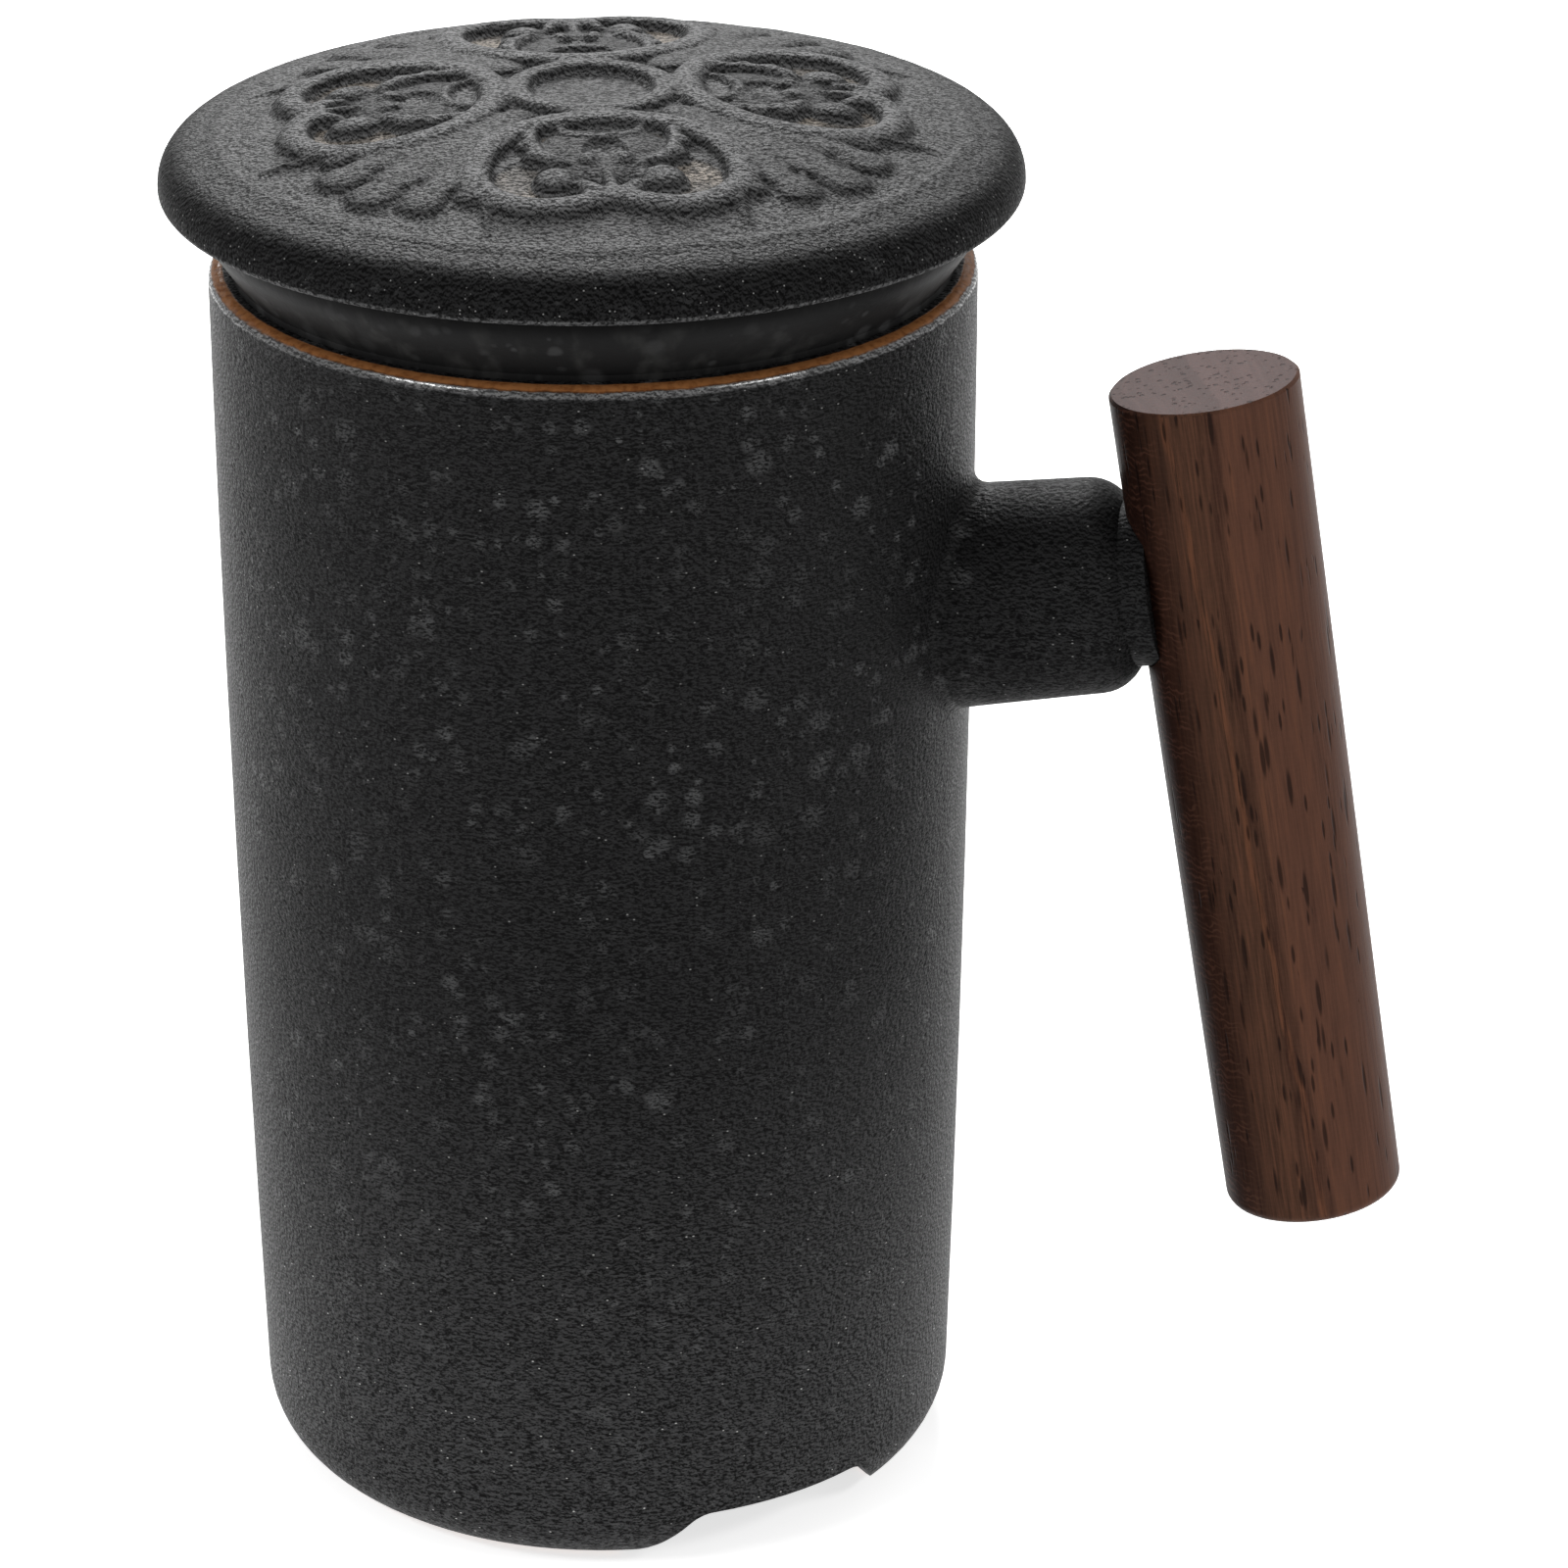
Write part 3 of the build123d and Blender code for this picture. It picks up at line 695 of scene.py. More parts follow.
def lid_stoneware():
    """Black glaze, grey on top and black down the edge, with worn and painted-highlit crests, a painted
    highlight on its lower corner, painted shade on the ridges' flanks and in the medallion, and brown dust in
    the hollows.
    """
    material, w, shader, coords = new_finish("lid_stoneware")
    height = w.split(coords)["Z"]
    radius = w.from_axis(coords)
    tone = flecked_glaze(w, coords, LID_FLECKS)
    grain = grain_of(w, coords, LID_GRAIN_SIZE, w.ramp(height, *LID_GLINT_SHARE))
    relief = w.add("ShaderNodeAttribute", attribute_name="relief").outputs["Fac"]
    top = w.ramp(height, *GREY_TOP)
    # Painted shade on the ridges' flanks and in the medallion's dish
    flank = w.math("MULTIPLY", w.ramp(relief, *FLANK_FOOT), w.ramp(relief, *FLANK_HEAD))
    painted_shade = w.math("MAXIMUM", flank, w.ramp(radius, *PAINTED_SHADE_MEDALLION))
    grey_with_painted_shade = w.mix(painted_shade, w.mix(top, tone, rgba(TOP_GREY_GLAZE)), rgba(BLACK_GLAZE))
    # Crests partly worn, partly a painted highlight; the lower corner a painted highlight
    worn_and_highlit_crest = w.ramp(relief, *WORN_AND_HIGHLIT_RELIEF)
    painted_highlight_edge = w.math("MULTIPLY", w.ramp(height, *PAINTED_HIGHLIGHT_EDGE), w.ramp(radius, *PAINTED_HIGHLIGHT_EDGE_OUTSIDE))
    worn_and_highlit = w.mix(w.math("MAXIMUM", worn_and_highlit_crest, painted_highlight_edge), grey_with_painted_shade, rgba(WORN_AND_HIGHLIT_CREST))
    pockets = w.math("MULTIPLY", w.ramp(relief, *POCKET_RELIEF), w.ramp(radius, *PETALS_START))
    dust = w.math("MULTIPLY", pockets, w.ramp(w.noise(coords, DUST_CLOUD_SIZE, 4.0), *DUST_CLOUDS))
    dusty = w.mix(w.math("MULTIPLY", dust, DUST_STRENGTH), worn_and_highlit, rgba(POCKET_DUST))
    # Painted glints, tinted by the dust where it lies
    glint = w.mix(dust, rgba(PAINTED_GLINT), rgba(DUST_TINTED_GLINT))
    w.feed(shader.inputs["Base Color"], grained(w, dusty, grain, LID_GRAIN_CONTRAST, glint))
    w.feed(shader.inputs["Roughness"], w.math("MULTIPLY_ADD", grain["Painted lit slopes"], -CREST_POLISH, LID_ROUGHNESS))
    set_sheen(shader, *LID_SHEEN)
    set_bump(w, shader, grain["Height"], LID_GRAIN_DEPTH)
    return material


def wood_pores(w, local):
    """Open pores: short dark dashes along the wood, gathered in clouds."""
    clouds = w.noise(w.vector("MULTIPLY", local, PORE_CLOUD_DRAW), PORE_CLOUD_SIZE, 2.0)
    dashes = []
    for cell, stretch, share in PORE_SIZES:
        distance, luck = w.cells(w.vector("MULTIPLY", local, (1.0, 1.0, stretch)), 1 / cell)
        kept = w.math("LESS_THAN", luck["X"], w.ramp(clouds, *PORE_CLOUDS, share * SPARSE_PORES, share))
        dashes.append(w.math("MULTIPLY", w.ramp(distance, *PORE_EDGE), kept))
    return w.greatest(dashes)


def wood_curl(w, local, along):
    """Fine cross ripples, strongest in patches on the side towards the mug."""
    wander = w.math("MULTIPLY", w.noise(local, CURL_WANDER_SIZE, 2.0), CURL_WANDER)
    ripple = w.math("SINE", w.math("MULTIPLY_ADD", along["Z"], 2 * math.pi / CURL_STEP, wander))
    patches = w.ramp(w.noise(local, CURL_PATCH_SIZE, 2.0), *CURL_PATCHES)
    zone = w.math("MULTIPLY", w.ramp(along["X"], *CURL_SIDE), patches)
    strength = w.math("MULTIPLY_ADD", zone, STRONG_CURL, FAINT_CURL)
    return w.math("MULTIPLY", w.ramp(ripple, *CURL_CREST), strength)


def wood_streak(w, local, along, fibres):
    """One pale streak that wanders down the grip."""
    height_only = w.vector("MULTIPLY", local, (0.0, 0.0, 1.0))
    sway = w.math("MULTIPLY_ADD", w.noise(height_only, STREAK_SWAY_SIZE, 3.0), STREAK_SWAY, -STREAK_SWAY / 2)
    place = w.math("ADD", along["X"], w.math("MULTIPLY_ADD", along["Z"], STREAK_LEAN, sway))
    line = w.ramp(w.math("ABSOLUTE", place), *STREAK_WIDTH)
    return w.math("MULTIPLY", line, w.ramp(fibres, *STREAK_FIBRES))


def grip_hardwood():
    """Dark reddish-brown hardwood along the grip, with open pores, curl, end grain and painted shade on its
    side towards the mug.
    """
    material, w, shader, coords = new_finish("grip_hardwood")
    centre = (grip_low + grip_high) / 2
    centre.rotate(grip_turn)
    local = w.add(
        "ShaderNodeMapping",
        {"Vector": coords, "Location": -centre, "Rotation": grip_turn},
        vector_type="POINT",
    ).outputs["Vector"]
    along = w.split(local)
    bend = w.noise(w.vector("MULTIPLY", local, SWAY_DRAW), SWAY_SIZE, 2.0)
    sway = w.math("MULTIPLY_ADD", bend, SWAY, -SWAY / 2)
    board = w.math("ADD", w.math("MULTIPLY_ADD", along["Y"], RING_TILT, along["X"]), sway)
    rings = w.add(
        "ShaderNodeTexNoise",
        {
            "W": w.math("MULTIPLY", board, 1 / RING_STEP),
            "Scale": 1.0,
            "Detail": RING_DETAIL,
            "Roughness": RING_ROUGHNESS,
        },
        noise_dimensions="1D",
    ).outputs["Fac"]
    fibres = w.noise(w.vector("MULTIPLY", local, FIBRE_DRAW), FIBRE_SIZE, 4.0, FIBRE_ROUGHNESS)
    figure = w.math("MULTIPLY_ADD", fibres, 0.5, w.math("MULTIPLY", rings, 0.5))
    pores = wood_pores(w, local)
    red_side = w.math("MULTIPLY", w.ramp(along["X"], *RED_SIDE), RED_STRENGTH)
    sides = w.mix(red_side, w.colours(figure, HEARTWOOD), rgba(REDDER_WOOD))
    # Painted shade on the side towards the mug
    sides = w.mix(w.ramp(along["X"], *PAINTED_SHADE_SIDE), rgba(PAINTED_SHADE_WOOD), sides)
    sides = w.mix(wood_curl(w, local, along), sides, rgba(CURL))
    streak = w.math("MULTIPLY", wood_streak(w, local, along, fibres), STREAK_STRENGTH)
    sides = w.mix(streak, sides, rgba(STREAK))
    ends = w.mix(w.ramp(figure, *END_GRAIN_FIGURE), rgba(DARK_END_GRAIN), rgba(PALE_END_GRAIN))
    facing = w.vector("DOT_PRODUCT", w.add("ShaderNodeTexCoord").outputs["Normal"], grip_axis)
    end_grain = w.ramp(w.math("ABSOLUTE", facing), *END_GRAIN_FACE)
    wood = w.mix(end_grain, sides, ends)
    w.feed(shader.inputs["Base Color"], w.mix(w.math("MULTIPLY", pores, PORE_STRENGTH), wood, rgba(PORE)))
    rough_sides = w.math("MULTIPLY_ADD", fibres, FIBRE_DULLNESS, WOOD_ROUGHNESS)
    w.feed(shader.inputs["Roughness"], w.math("MULTIPLY_ADD", end_grain, END_GRAIN_ROUGHNESS, rough_sides))
    set_sheen(shader, *WOOD_SHEEN)
    ridges = w.math("MULTIPLY", fibres, FIBRE_HEIGHT)
    set_bump(w, shader, w.math("MULTIPLY_ADD", pores, -1.0, ridges), WOOD_DEPTH)
    return material


def stud_steel():
    """Drawn steel rod with a fine screw thread."""
    material, w, shader, coords = new_finish("stud_steel")
    local = w.add("ShaderNodeMapping", {"Vector": coords, "Rotation": grip_turn}, vector_type="POINT")
    thread = w.math("PINGPONG", w.split(local.outputs["Vector"])["X"], HALF_THREAD)
    scratches = w.noise(w.vector("MULTIPLY", coords, SCRATCH_DRAW), SCRATCH_SIZE, 3.0)
    w.feed(shader.inputs["Base Color"], w.mix(scratches, rgba(DARK_STEEL), rgba(BRIGHT_STEEL)))
    w.feed(shader.inputs["Roughness"], w.math("MULTIPLY_ADD", scratches, SCRATCH_ROUGHNESS, STEEL_ROUGHNESS))
    shader.inputs["Metallic"].default_value = 1.0
    set_bump(w, shader, w.math("DIVIDE", thread, HALF_THREAD), THREAD_DEPTH)
    return material


def bond_epoxy():
    """Cured, slightly cloudy potting."""
    material, w, shader, coords = new_finish("bond_epoxy")
    clouds = w.noise(coords, POTTING_CLOUD_SIZE, 4.0, 0.6)
    w.feed(shader.inputs["Base Color"], w.mix(clouds, rgba(DARK_POTTING), rgba(PALE_POTTING)))
    roughness = w.math("MULTIPLY_ADD", clouds, POTTING_CLOUD_ROUGHNESS, POTTING_ROUGHNESS)
    w.feed(shader.inputs["Roughness"], roughness)
    set_bump(w, shader, clouds, POTTING_DEPTH)
    return material


# Carved lid


def arc(centre, radius, start, end, steps):
    """Points (radius from the axis, height) round an arc, angles in degrees."""
    angles = [math.radians(start + (end - start) * step / steps) for step in range(steps + 1)]
    return [(centre[0] + radius * math.cos(a), centre[1] + radius * math.sin(a)) for a in angles]


def lid_profile():
    """Lid's section from the crown, over the edge, round the spigot and up to the hollow's middle."""
    dome_radius = (lid_radius**2 + DOME_RISE**2) / (2 * DOME_RISE)
    dome_middle = edge_top + DOME_RISE - dome_radius
    round_middle = lid_radius - TOP_ROUND
    round_height = dome_middle + math.sqrt((dome_radius - TOP_ROUND) ** 2 - round_middle**2)
    slope = math.degrees(math.atan2(round_height - dome_middle, round_middle))
    dome_edge = round_middle * dome_radius / (dome_radius - TOP_ROUND)
    rings = math.ceil(dome_edge / DOME_STEP)
    dome = [
        (r, dome_middle + math.sqrt(dome_radius**2 - r**2))
        for r in (dome_edge * ring / rings for ring in range(rings))
    ]
    bore = SPIGOT_RADIUS - SPIGOT_WALL
    hollow_top = lid_seat + HOLLOW_HEIGHT
    fillet_middle = (SPIGOT_RADIUS + SPIGOT_FILLET, lid_seat - SPIGOT_FILLET)
    spigot_corner = (SPIGOT_RADIUS - SPIGOT_ROUND, spigot_foot + SPIGOT_ROUND)
    bore_corner = (bore + BORE_ROUND, spigot_foot + BORE_ROUND)
    hollow_corner = (bore - HOLLOW_ROUND, hollow_top - HOLLOW_ROUND)
    return (
        dome
        + arc((round_middle, round_height), TOP_ROUND, slope, 0, TOP_ROUND_STEPS)
        + arc((lid_radius - UNDER_ROUND, lid_seat + UNDER_ROUND), UNDER_ROUND, 0, -90, ROUND_STEPS)
        + [(SPIGOT_RADIUS + SPIGOT_FILLET, lid_seat)]
        + arc(fillet_middle, SPIGOT_FILLET, 90, 180, SMALL_ROUND_STEPS)
        + arc(spigot_corner, SPIGOT_ROUND, 0, -90, ROUND_STEPS)
        + arc(bore_corner, BORE_ROUND, -90, -180, SMALL_ROUND_STEPS)
        + arc(hollow_corner, HOLLOW_ROUND, 0, 90, ROUND_STEPS)
        + [(0.0, hollow_top)]
    )


def lathe(name, profile, segments):
    """Closed mesh turned from a section that starts and ends on the axis."""
    turns = [2 * math.pi * step / segments for step in range(segments)]
    rings = profile[1:-1]
    points = [(0, 0, profile[0][1])]
    points += [(r * math.cos(a), r * math.sin(a), z) for r, z in rings for a in turns]
    points.append((0, 0, profile[-1][1]))
    last = len(points) - 1

    def at(ring, step):
        return 1 + ring * segments + step % segments

    faces = [(0, at(0, step), at(0, step + 1)) for step in range(segments)]
    for ring in range(len(rings) - 1):
        for step in range(segments):
            faces.append((at(ring, step), at(ring + 1, step), at(ring + 1, step + 1), at(ring, step + 1)))
    end = len(rings) - 1
    faces += [(at(end, step + 1), at(end, step), last) for step in range(segments)]
    mesh = bpy.data.meshes.new(name)
    mesh.from_pydata(points, [], faces)
    mesh.polygons.foreach_set("use_smooth", [True] * len(mesh.polygons))
    return mesh


def turned(points, angle):
    """Ornament points turned about the lid's axis."""
    c = math.cos(angle)
    s = math.sin(angle)
    return [(c * u - s * v, s * u + c * v, width) for u, v, width in points]


def mirrored(strokes):
    """Each stroke and, where it leaves its motif's axis, its mirror image."""
    both = list(strokes)
    for points in strokes:
        if any(v for _, v, _ in points):
            both.append([(u, -v, width) for u, v, width in points])
    return both


def ornament_strokes():
    """Strokes of one petal, one leaf and the medallion's part between two leaves, by layer."""
    half_turn = math.pi / PETAL_COUNT
    arc_turns = [half_turn * (2 * step / (MEDALLION_POINTS - 1) - 1) for step in range(MEDALLION_POINTS)]
    medallion = [
        (MEDALLION_RADIUS * math.cos(a), MEDALLION_RADIUS * math.sin(a), MEDALLION_HALF_WIDTH)
        for a in arc_turns
    ]
    lobe_radius = PETAL_LOBE_RADIUS - PETAL_RIB / 2
    cusp = math.degrees(math.asin(PETAL_LOBE_OFFSET / PETAL_LOBE_RADIUS))
    flank = arc((PETAL_PLACE, 0), PETAL_LOBE_OFFSET + lobe_radius, 180, PETAL_FLANK_END, PETAL_EDGE_STEPS)
    lobe = arc((PETAL_PLACE, PETAL_LOBE_OFFSET), lobe_radius, 90, -cusp, PETAL_EDGE_STEPS)
    petal_edge = [[(u, v, PETAL_RIB / 2) for u, v in flank + lobe] + PETAL_CURL]
    sprigs = [turned(points, half_turn) for points in mirrored(LEAF_SPRIGS)]
    return {
        "Ribs": mirrored(petal_edge) + [medallion],
        "Frills": mirrored(PETAL_FRILLS) + sprigs,
        "Drops": mirrored(PETAL_DROPS),
        "Stems": [turned(points, half_turn) for points in mirrored(LEAF_STEMS)],
        "Hoods": PETAL_HOODS,
        "Cups": PETAL_CUPS,
        "Hollows": mirrored(PETAL_HOLLOWS) + [MEDALLION_DISH],
    }


def stroke_curves(name, strokes):
    """Curve object with one poly spline for each stroke and its half width as the radius."""
    unit = lid_radius / 100
    data = bpy.data.curves.new(name, "CURVE")
    data.dimensions = "3D"
    for points in strokes:
        spline = data.splines.new("POLY")
        spline.points.add(len(points) - 1)
        for target, (x, y, width) in zip(spline.points, points):
            target.co = (x * unit, y * unit, 0.0, 1.0)
            target.radius = width * unit
    return bpy.data.objects.new(name, data)


def stroke_cover_group():
    """How fully repeated strokes cover a place: 1 on the middle line of a full one, 0 past its half width."""
    tree, w, given, result = group_tree(
        "stroke_cover",
        "GeometryNodeTree",
        [
            ("Strokes", "NodeSocketObject"),
            ("Copies", "NodeSocketInt"),
            ("First turn", "NodeSocketFloat"),
            ("Step", "NodeSocketFloat"),
            ("Fullness", "NodeSocketFloat"),
            ("Full width", "NodeSocketFloat"),
        ],
        [("Cover", "NodeSocketFloat")],
    )
    drawn = w.add("GeometryNodeObjectInfo", {"Object": given["Strokes"]}).outputs["Geometry"]
    widths = w.add(
        "GeometryNodeStoreNamedAttribute",
        {"Geometry": drawn, "Name": "half_width", "Value": w.add("GeometryNodeInputRadius").outputs[0]},
        data_type="FLOAT",
        domain="POINT",
    ).outputs["Geometry"]
    smooth = w.add(
        "GeometryNodeCurveSplineType", {"Curve": widths}, spline_type="CATMULL_ROM"
    ).outputs["Curve"]
    dots = w.add(
        "GeometryNodeCurveToPoints", {"Curve": smooth, "Length": given["Step"]}, mode="LENGTH"
    ).outputs["Points"]
    stations = w.add(
        "GeometryNodeMeshLine", {"Count": given["Copies"], "Offset": (0.0, 0.0, 0.0)}
    ).outputs["Mesh"]
    part_turn = w.math("DIVIDE", 2 * math.pi, given["Copies"])
    turn = w.math("MULTIPLY_ADD", w.add("GeometryNodeInputIndex").outputs[0], part_turn, given["First turn"])
    copies = w.add(
        "GeometryNodeInstanceOnPoints",
        {"Points": stations, "Instance": dots, "Rotation": w.joined(0.0, 0.0, turn)},
    ).outputs["Instances"]
    ornament = w.add("GeometryNodeRealizeInstances", {"Geometry": copies}).outputs["Geometry"]
    position = w.add("GeometryNodeInputPosition").outputs[0]
    flat = w.flat(position)
    nearest = w.add(
        "GeometryNodeSampleNearest", {"Geometry": ornament, "Sample Position": flat}
    ).outputs["Index"]
    middle = w.add("GeometryNodeSampleIndex", data_type="FLOAT_VECTOR")
    width = w.add("GeometryNodeSampleIndex", data_type="FLOAT")
    half_width = w.add("GeometryNodeInputNamedAttribute", {"Name": "half_width"}, data_type="FLOAT")
    for sample, value in ((middle, position), (width, half_width.outputs["Attribute"])):
        w.feed(sample.inputs["Geometry"], ornament)
        w.feed(sample.inputs["Value"], value)
        w.feed(sample.inputs["Index"], nearest)
    gap = w.vector("DISTANCE", flat, middle.outputs[0])
    share = w.math("DIVIDE", gap, width.outputs[0], clamp=True)
    left = w.math("MULTIPLY_ADD", w.math("MULTIPLY", share, share), -1.0, 1.0)
    narrowing = w.math("DIVIDE", width.outputs[0], given["Full width"], clamp=True)
    w.feed(result["Cover"], w.math("MULTIPLY", w.math("POWER", left, given["Fullness"]), narrowing))
    return tree


def carved_relief_tree(cover):
    """Raises the ornament from the lid's top, with dished hoods and sunken petals."""
    tree, w, given, result = group_tree(
        "carved_relief",
        "GeometryNodeTree",
        [("Geometry", "NodeSocketGeometry")]
        + [(layer, "NodeSocketObject") for layer in STROKE_FULLNESS]
        + [(layer + " height", "NodeSocketFloat") for layer in STROKE_HEIGHTS]
        + [
            ("Copies", "NodeSocketInt"),
            ("First turn", "NodeSocketFloat"),
            ("Step", "NodeSocketFloat"),
            ("Full width", "NodeSocketFloat"),
            ("Unevenness", "NodeSocketFloat"),
            ("Edge wave height", "NodeSocketFloat"),
            ("Softening", "NodeSocketInt"),
            ("Top from", "NodeSocketFloat"),
            ("Middle share", "NodeSocketFloat"),
            ("Lid radius", "NodeSocketFloat"),
            ("Material", "NodeSocketMaterial"),
        ],
        [("Geometry", "NodeSocketGeometry")],
    )
    covers = {}
    for layer, fullness in STROKE_FULLNESS.items():
        inputs = {name: given[name] for name in ("Copies", "First turn", "Step", "Full width")}
        inputs.update({"Strokes": given[layer], "Fullness": fullness})
        covers[layer] = w.add("GeometryNodeGroup", inputs, node_tree=cover).outputs["Cover"]
    heights = {layer: w.math("MULTIPLY", covers[layer], given[layer + " height"]) for layer in STROKE_HEIGHTS}
    heights["Hoods"] = w.math("MULTIPLY", heights["Hoods"], w.rest(covers["Cups"]))
    heights["Stems"] = w.math("MULTIPLY", heights["Stems"], w.rest(covers["Hollows"]))
    raised = w.greatest([heights[layer] for layer in ("Ribs", "Frills", "Drops", "Stems", "Hoods")])
    filled = w.greatest([covers[layer] for layer in ("Ribs", "Frills", "Drops", "Hoods")])
    sunk = w.math("MULTIPLY", heights["Hollows"], w.rest(filled))
    position = w.add("GeometryNodeInputPosition").outputs[0]
    reach = w.math("DIVIDE", w.from_axis(position), given["Lid radius"])
    low_middle = w.add(
        "ShaderNodeMapRange",
        {
            "Value": reach,
            "From Min": MIDDLE_REACH[0],
            "From Max": MIDDLE_REACH[1],
            "To Min": given["Middle share"],
            "To Max": 1.0,
        },
    ).outputs[0]
    carved = w.math("MULTIPLY", w.math("ADD", raised, sunk), low_middle)
    ripple = w.math("SUBTRACT", w.noise(position, RIPPLE_SIZE, 3.0), 0.5)
    uneven = w.math("MULTIPLY_ADD", ripple, w.math("MULTIPLY", given["Unevenness"], low_middle), carved)
    wander = w.math("MULTIPLY_ADD", w.noise(position, EDGE_WAVE_WANDER_SIZE, 2.0), EDGE_WAVE_WANDER, reach)
    off_wave = w.math("ABSOLUTE", w.math("SUBTRACT", wander, EDGE_WAVE_REACH))
    edge_wave = w.ramp(off_wave, *EDGE_WAVE_WIDTH)
    waved = w.math("MULTIPLY_ADD", edge_wave, given["Edge wave height"], uneven)
    full_from = w.math("ADD", given["Top from"], CARVING_START)
    on_top = w.ramp(w.split(position)["Z"], given["Top from"], full_from)
    soft = w.add(
        "GeometryNodeBlurAttribute",
        {"Value": w.math("MULTIPLY", waved, on_top), "Iterations": given["Softening"]},
        data_type="FLOAT",
    ).outputs["Value"]
    stored = w.add(
        "GeometryNodeStoreNamedAttribute",
        {
            "Geometry": given["Geometry"],
            "Name": "relief",
            "Value": w.math("DIVIDE", soft, given["Ribs height"]),
        },
        data_type="FLOAT",
        domain="POINT",
    ).outputs["Geometry"]
    raised_lid = w.add(
        "GeometryNodeSetPosition", {"Geometry": stored, "Offset": w.joined(0.0, 0.0, soft)}
    ).outputs["Geometry"]
    whole = w.add("GeometryNodeRealizeInstances", {"Geometry": raised_lid}).outputs["Geometry"]
    dressed = w.add(
        "GeometryNodeSetMaterial", {"Geometry": whole, "Material": given["Material"]}
    ).outputs["Geometry"]
    w.feed(result["Geometry"], dressed)
    return tree


def plain_mesh(piece, name):
    """Mesh of the piece with its modifiers worked in."""
    graph = bpy.context.evaluated_depsgraph_get()
    mesh = bpy.data.meshes.new_from_object(
        piece.evaluated_get(graph), preserve_all_data_layers=True, depsgraph=graph
    )
    mesh.name = name
    return mesh


def carved_lid(finish):
    """Domed lid with four heart-shaped petals, four leaves and a ringed medallion."""
    blank = bpy.data.objects.new("lid_blank", lathe("lid_blank", lid_profile(), LID_SEGMENTS))
    bpy.context.scene.collection.objects.link(blank)
    tree = carved_relief_tree(stroke_cover_group())
    modifier = blank.modifiers.new("carved_relief", "NODES")
    modifier.node_group = tree
    values = {
        "Edge wave height": EDGE_WAVE_HEIGHT,
        "Copies": PETAL_COUNT,
        "First turn": PETAL_TURN,
        "Step": STROKE_STEP,
        "Full width": FULL_STROKE / 100 * lid_radius,
        "Unevenness": UNEVENNESS,
        "Softening": RELIEF_SOFTENING,
        "Top from": carved_from,
        "Middle share": MIDDLE_SHARE,
        "Lid radius": lid_radius,
        "Material": finish,
    }
    for layer, height in STROKE_HEIGHTS.items():
        values[layer + " height"] = height
    for layer, strokes in ornament_strokes().items():
        values[layer] = stroke_curves("lid_" + layer.lower(), strokes)
    for socket in tree.interface.items_tree:
        if socket.in_out == "INPUT" and socket.name in values:
            modifier[socket.identifier] = values[socket.name]
    mesh = plain_mesh(blank, "carved_lid")
    bpy.data.objects.remove(blank)
    mesh.set_sharp_from_angle(angle=SHARP_EDGE)
    piece = bpy.data.objects.new("carved_lid", mesh)
    bpy.context.scene.collection.objects.link(piece)
    return piece


# Stage


def seen_directly(w):
    """1 for what the camera sees, itself or through gloss and glass."""
    rays = w.add("ShaderNodeLightPath").outputs
    gloss = w.math("MAXIMUM", rays["Is Glossy Ray"], rays["Is Transmission Ray"])
    return w.math("MAXIMUM", rays["Is Camera Ray"], gloss)


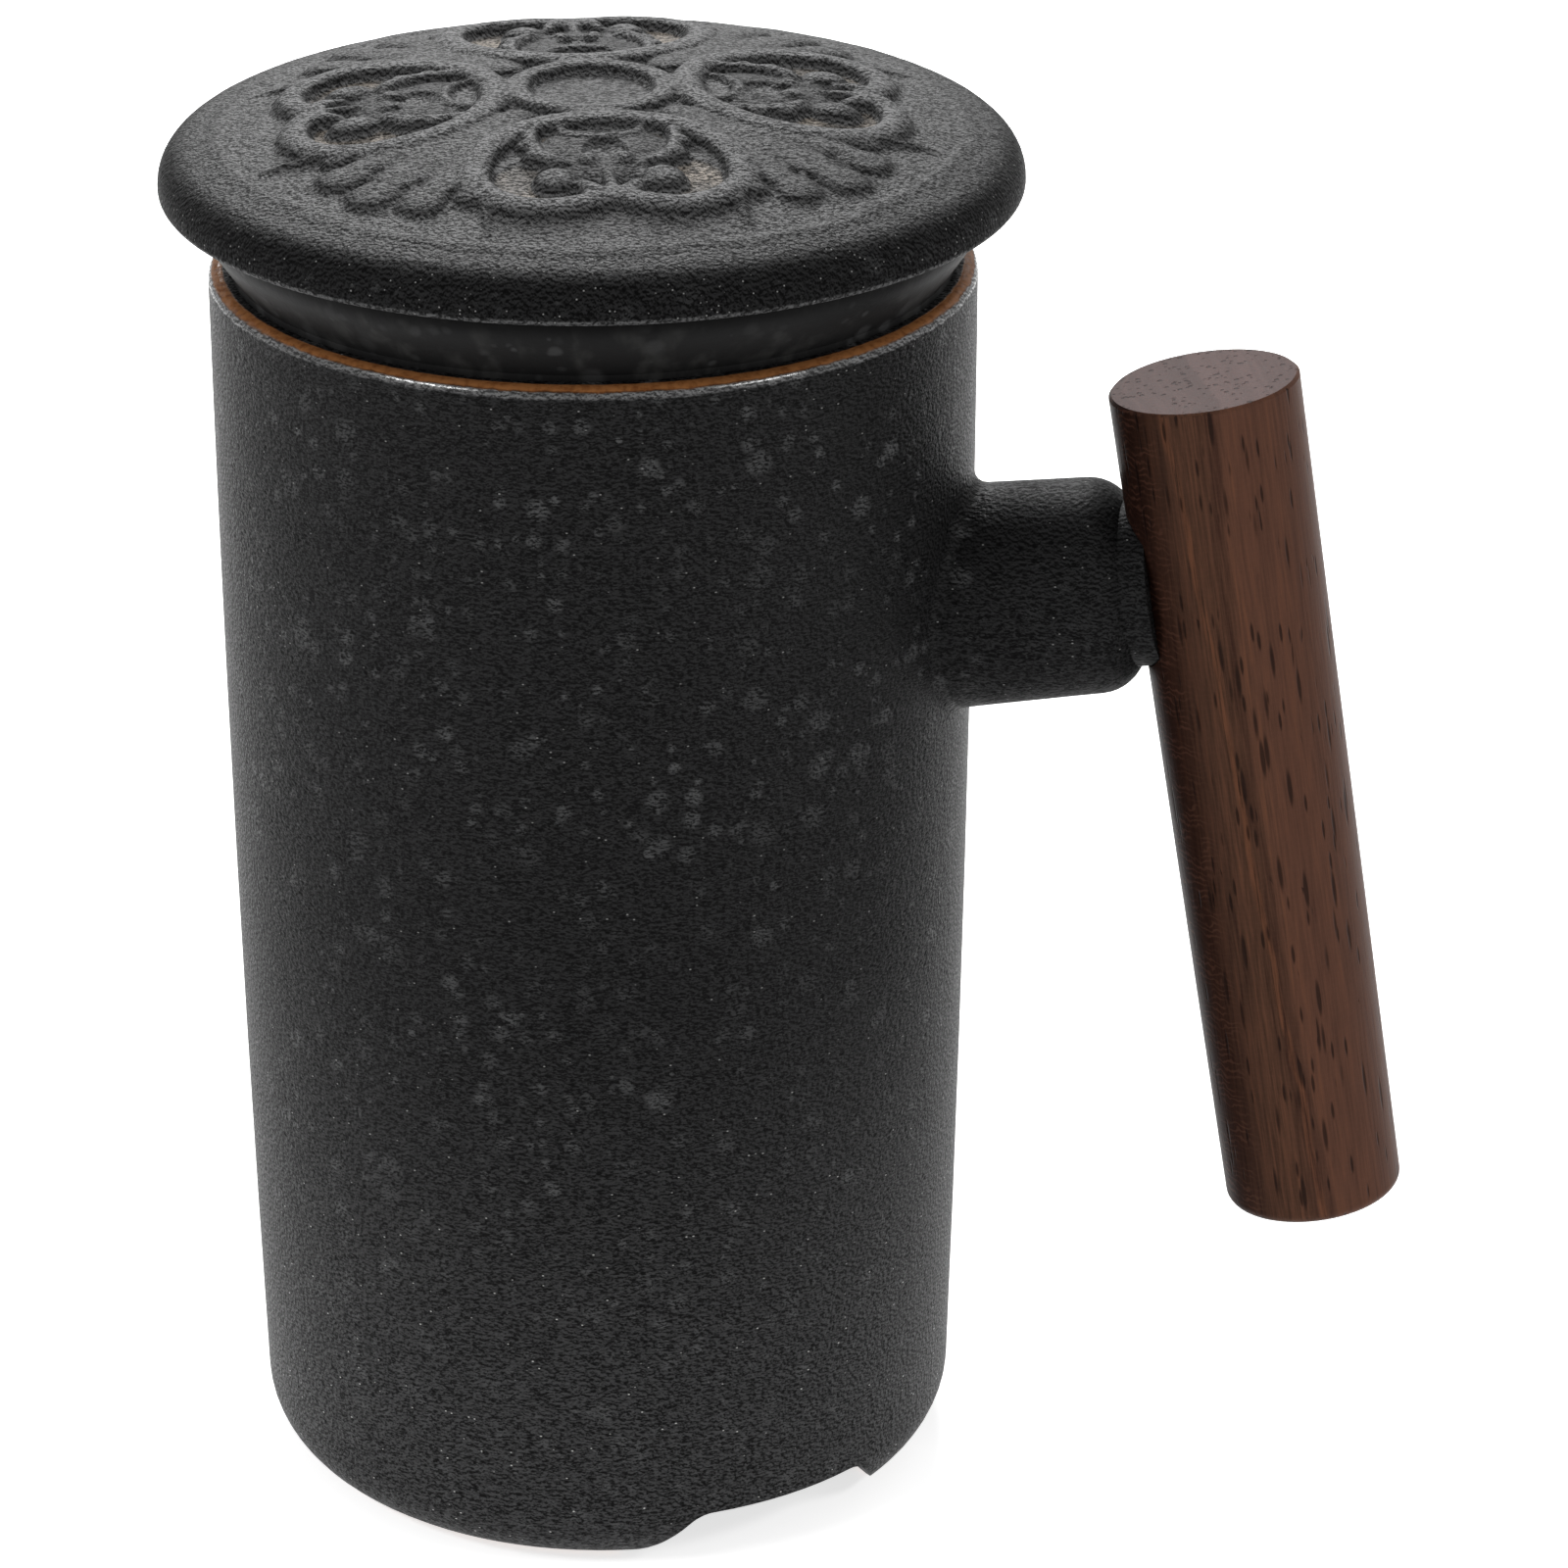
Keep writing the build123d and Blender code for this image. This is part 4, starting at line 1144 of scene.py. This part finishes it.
def lay_floor():
    """Pale floor that shows white around the object and keeps its shadow."""
    corners = ((-1, -1), (1, -1), (1, 1), (-1, 1))
    points = [(x * FLOOR_HALF, y * FLOOR_HALF, -FLOOR_DROP) for x, y in corners]
    mesh = bpy.data.meshes.new("floor")
    mesh.from_pydata(points, [], [(0, 1, 2, 3)])
    floor = bpy.data.objects.new("floor", mesh)
    bpy.context.scene.collection.objects.link(floor)
    material, w, shader, _ = new_finish("pale_floor")
    shader.inputs["Base Color"].default_value = rgba(FLOOR_COLOUR)
    shader.inputs["Roughness"].default_value = FLOOR_ROUGHNESS
    shader.inputs["Specular IOR Level"].default_value = 0.0
    shader.inputs["Emission Color"].default_value = rgba(WHITE)
    glow = w.math("MULTIPLY_ADD", seen_directly(w), FLOOR_GLOW_SEEN, FLOOR_GLOW)
    w.feed(shader.inputs["Emission Strength"], glow)
    mesh.materials.append(material)


def light_studio():
    """White surroundings, and soft boxes behind, to the left and to the right."""
    world = bpy.data.worlds.new("studio")
    bpy.context.scene.world = world
    world.use_nodes = True
    w = Wiring(world.node_tree)
    background = world.node_tree.nodes["Background"]
    background.inputs["Color"].default_value = rgba(WHITE)
    glow = w.math("MULTIPLY_ADD", seen_directly(w), 1.0 - SURROUNDINGS_GLOW, SURROUNDINGS_GLOW)
    w.feed(background.inputs["Strength"], glow)
    for name, place, width, depth, power in SOFT_BOXES:
        lamp = bpy.data.lights.new(name, "AREA")
        lamp.shape = "RECTANGLE"
        lamp.size = width
        lamp.size_y = depth
        lamp.energy = power
        holder = bpy.data.objects.new(name, lamp)
        holder.location = place
        aim = LAMP_AIM - Vector(place)
        holder.rotation_euler = aim.to_track_quat("-Z", "Y").to_euler()
        bpy.context.scene.collection.objects.link(holder)


def place_camera():
    data = bpy.data.cameras.new("camera")
    data.lens = CAMERA_LENS
    data.sensor_width = SENSOR_WIDTH
    data.clip_start = CLIP_START
    camera = bpy.data.objects.new("camera", data)
    camera.location = CAMERA_PLACE
    camera.rotation_euler = CAMERA_FORWARD.to_track_quat("-Z", "Y").to_euler()
    bpy.context.scene.collection.objects.link(camera)
    bpy.context.scene.camera = camera


def finish_node(node, material):
    """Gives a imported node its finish."""
    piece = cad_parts[node]
    if not piece.material_slots:
        piece.data.materials.append(material)
    for slot in piece.material_slots:
        slot.material = material


bpy.context.scene.view_settings.view_transform = "Standard"
place_camera()
light_studio()
lay_floor()

finish_node("mug_body", mug_stoneware())
finish_node("infuser_basket", infuser_stoneware())
finish_node("handle_grip", grip_hardwood())
finish_node("handle_stud", stud_steel())
finish_node("stud_bond", bond_epoxy())

lid = carved_lid(lid_stoneware())
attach(lid, "lid")
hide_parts("lid")
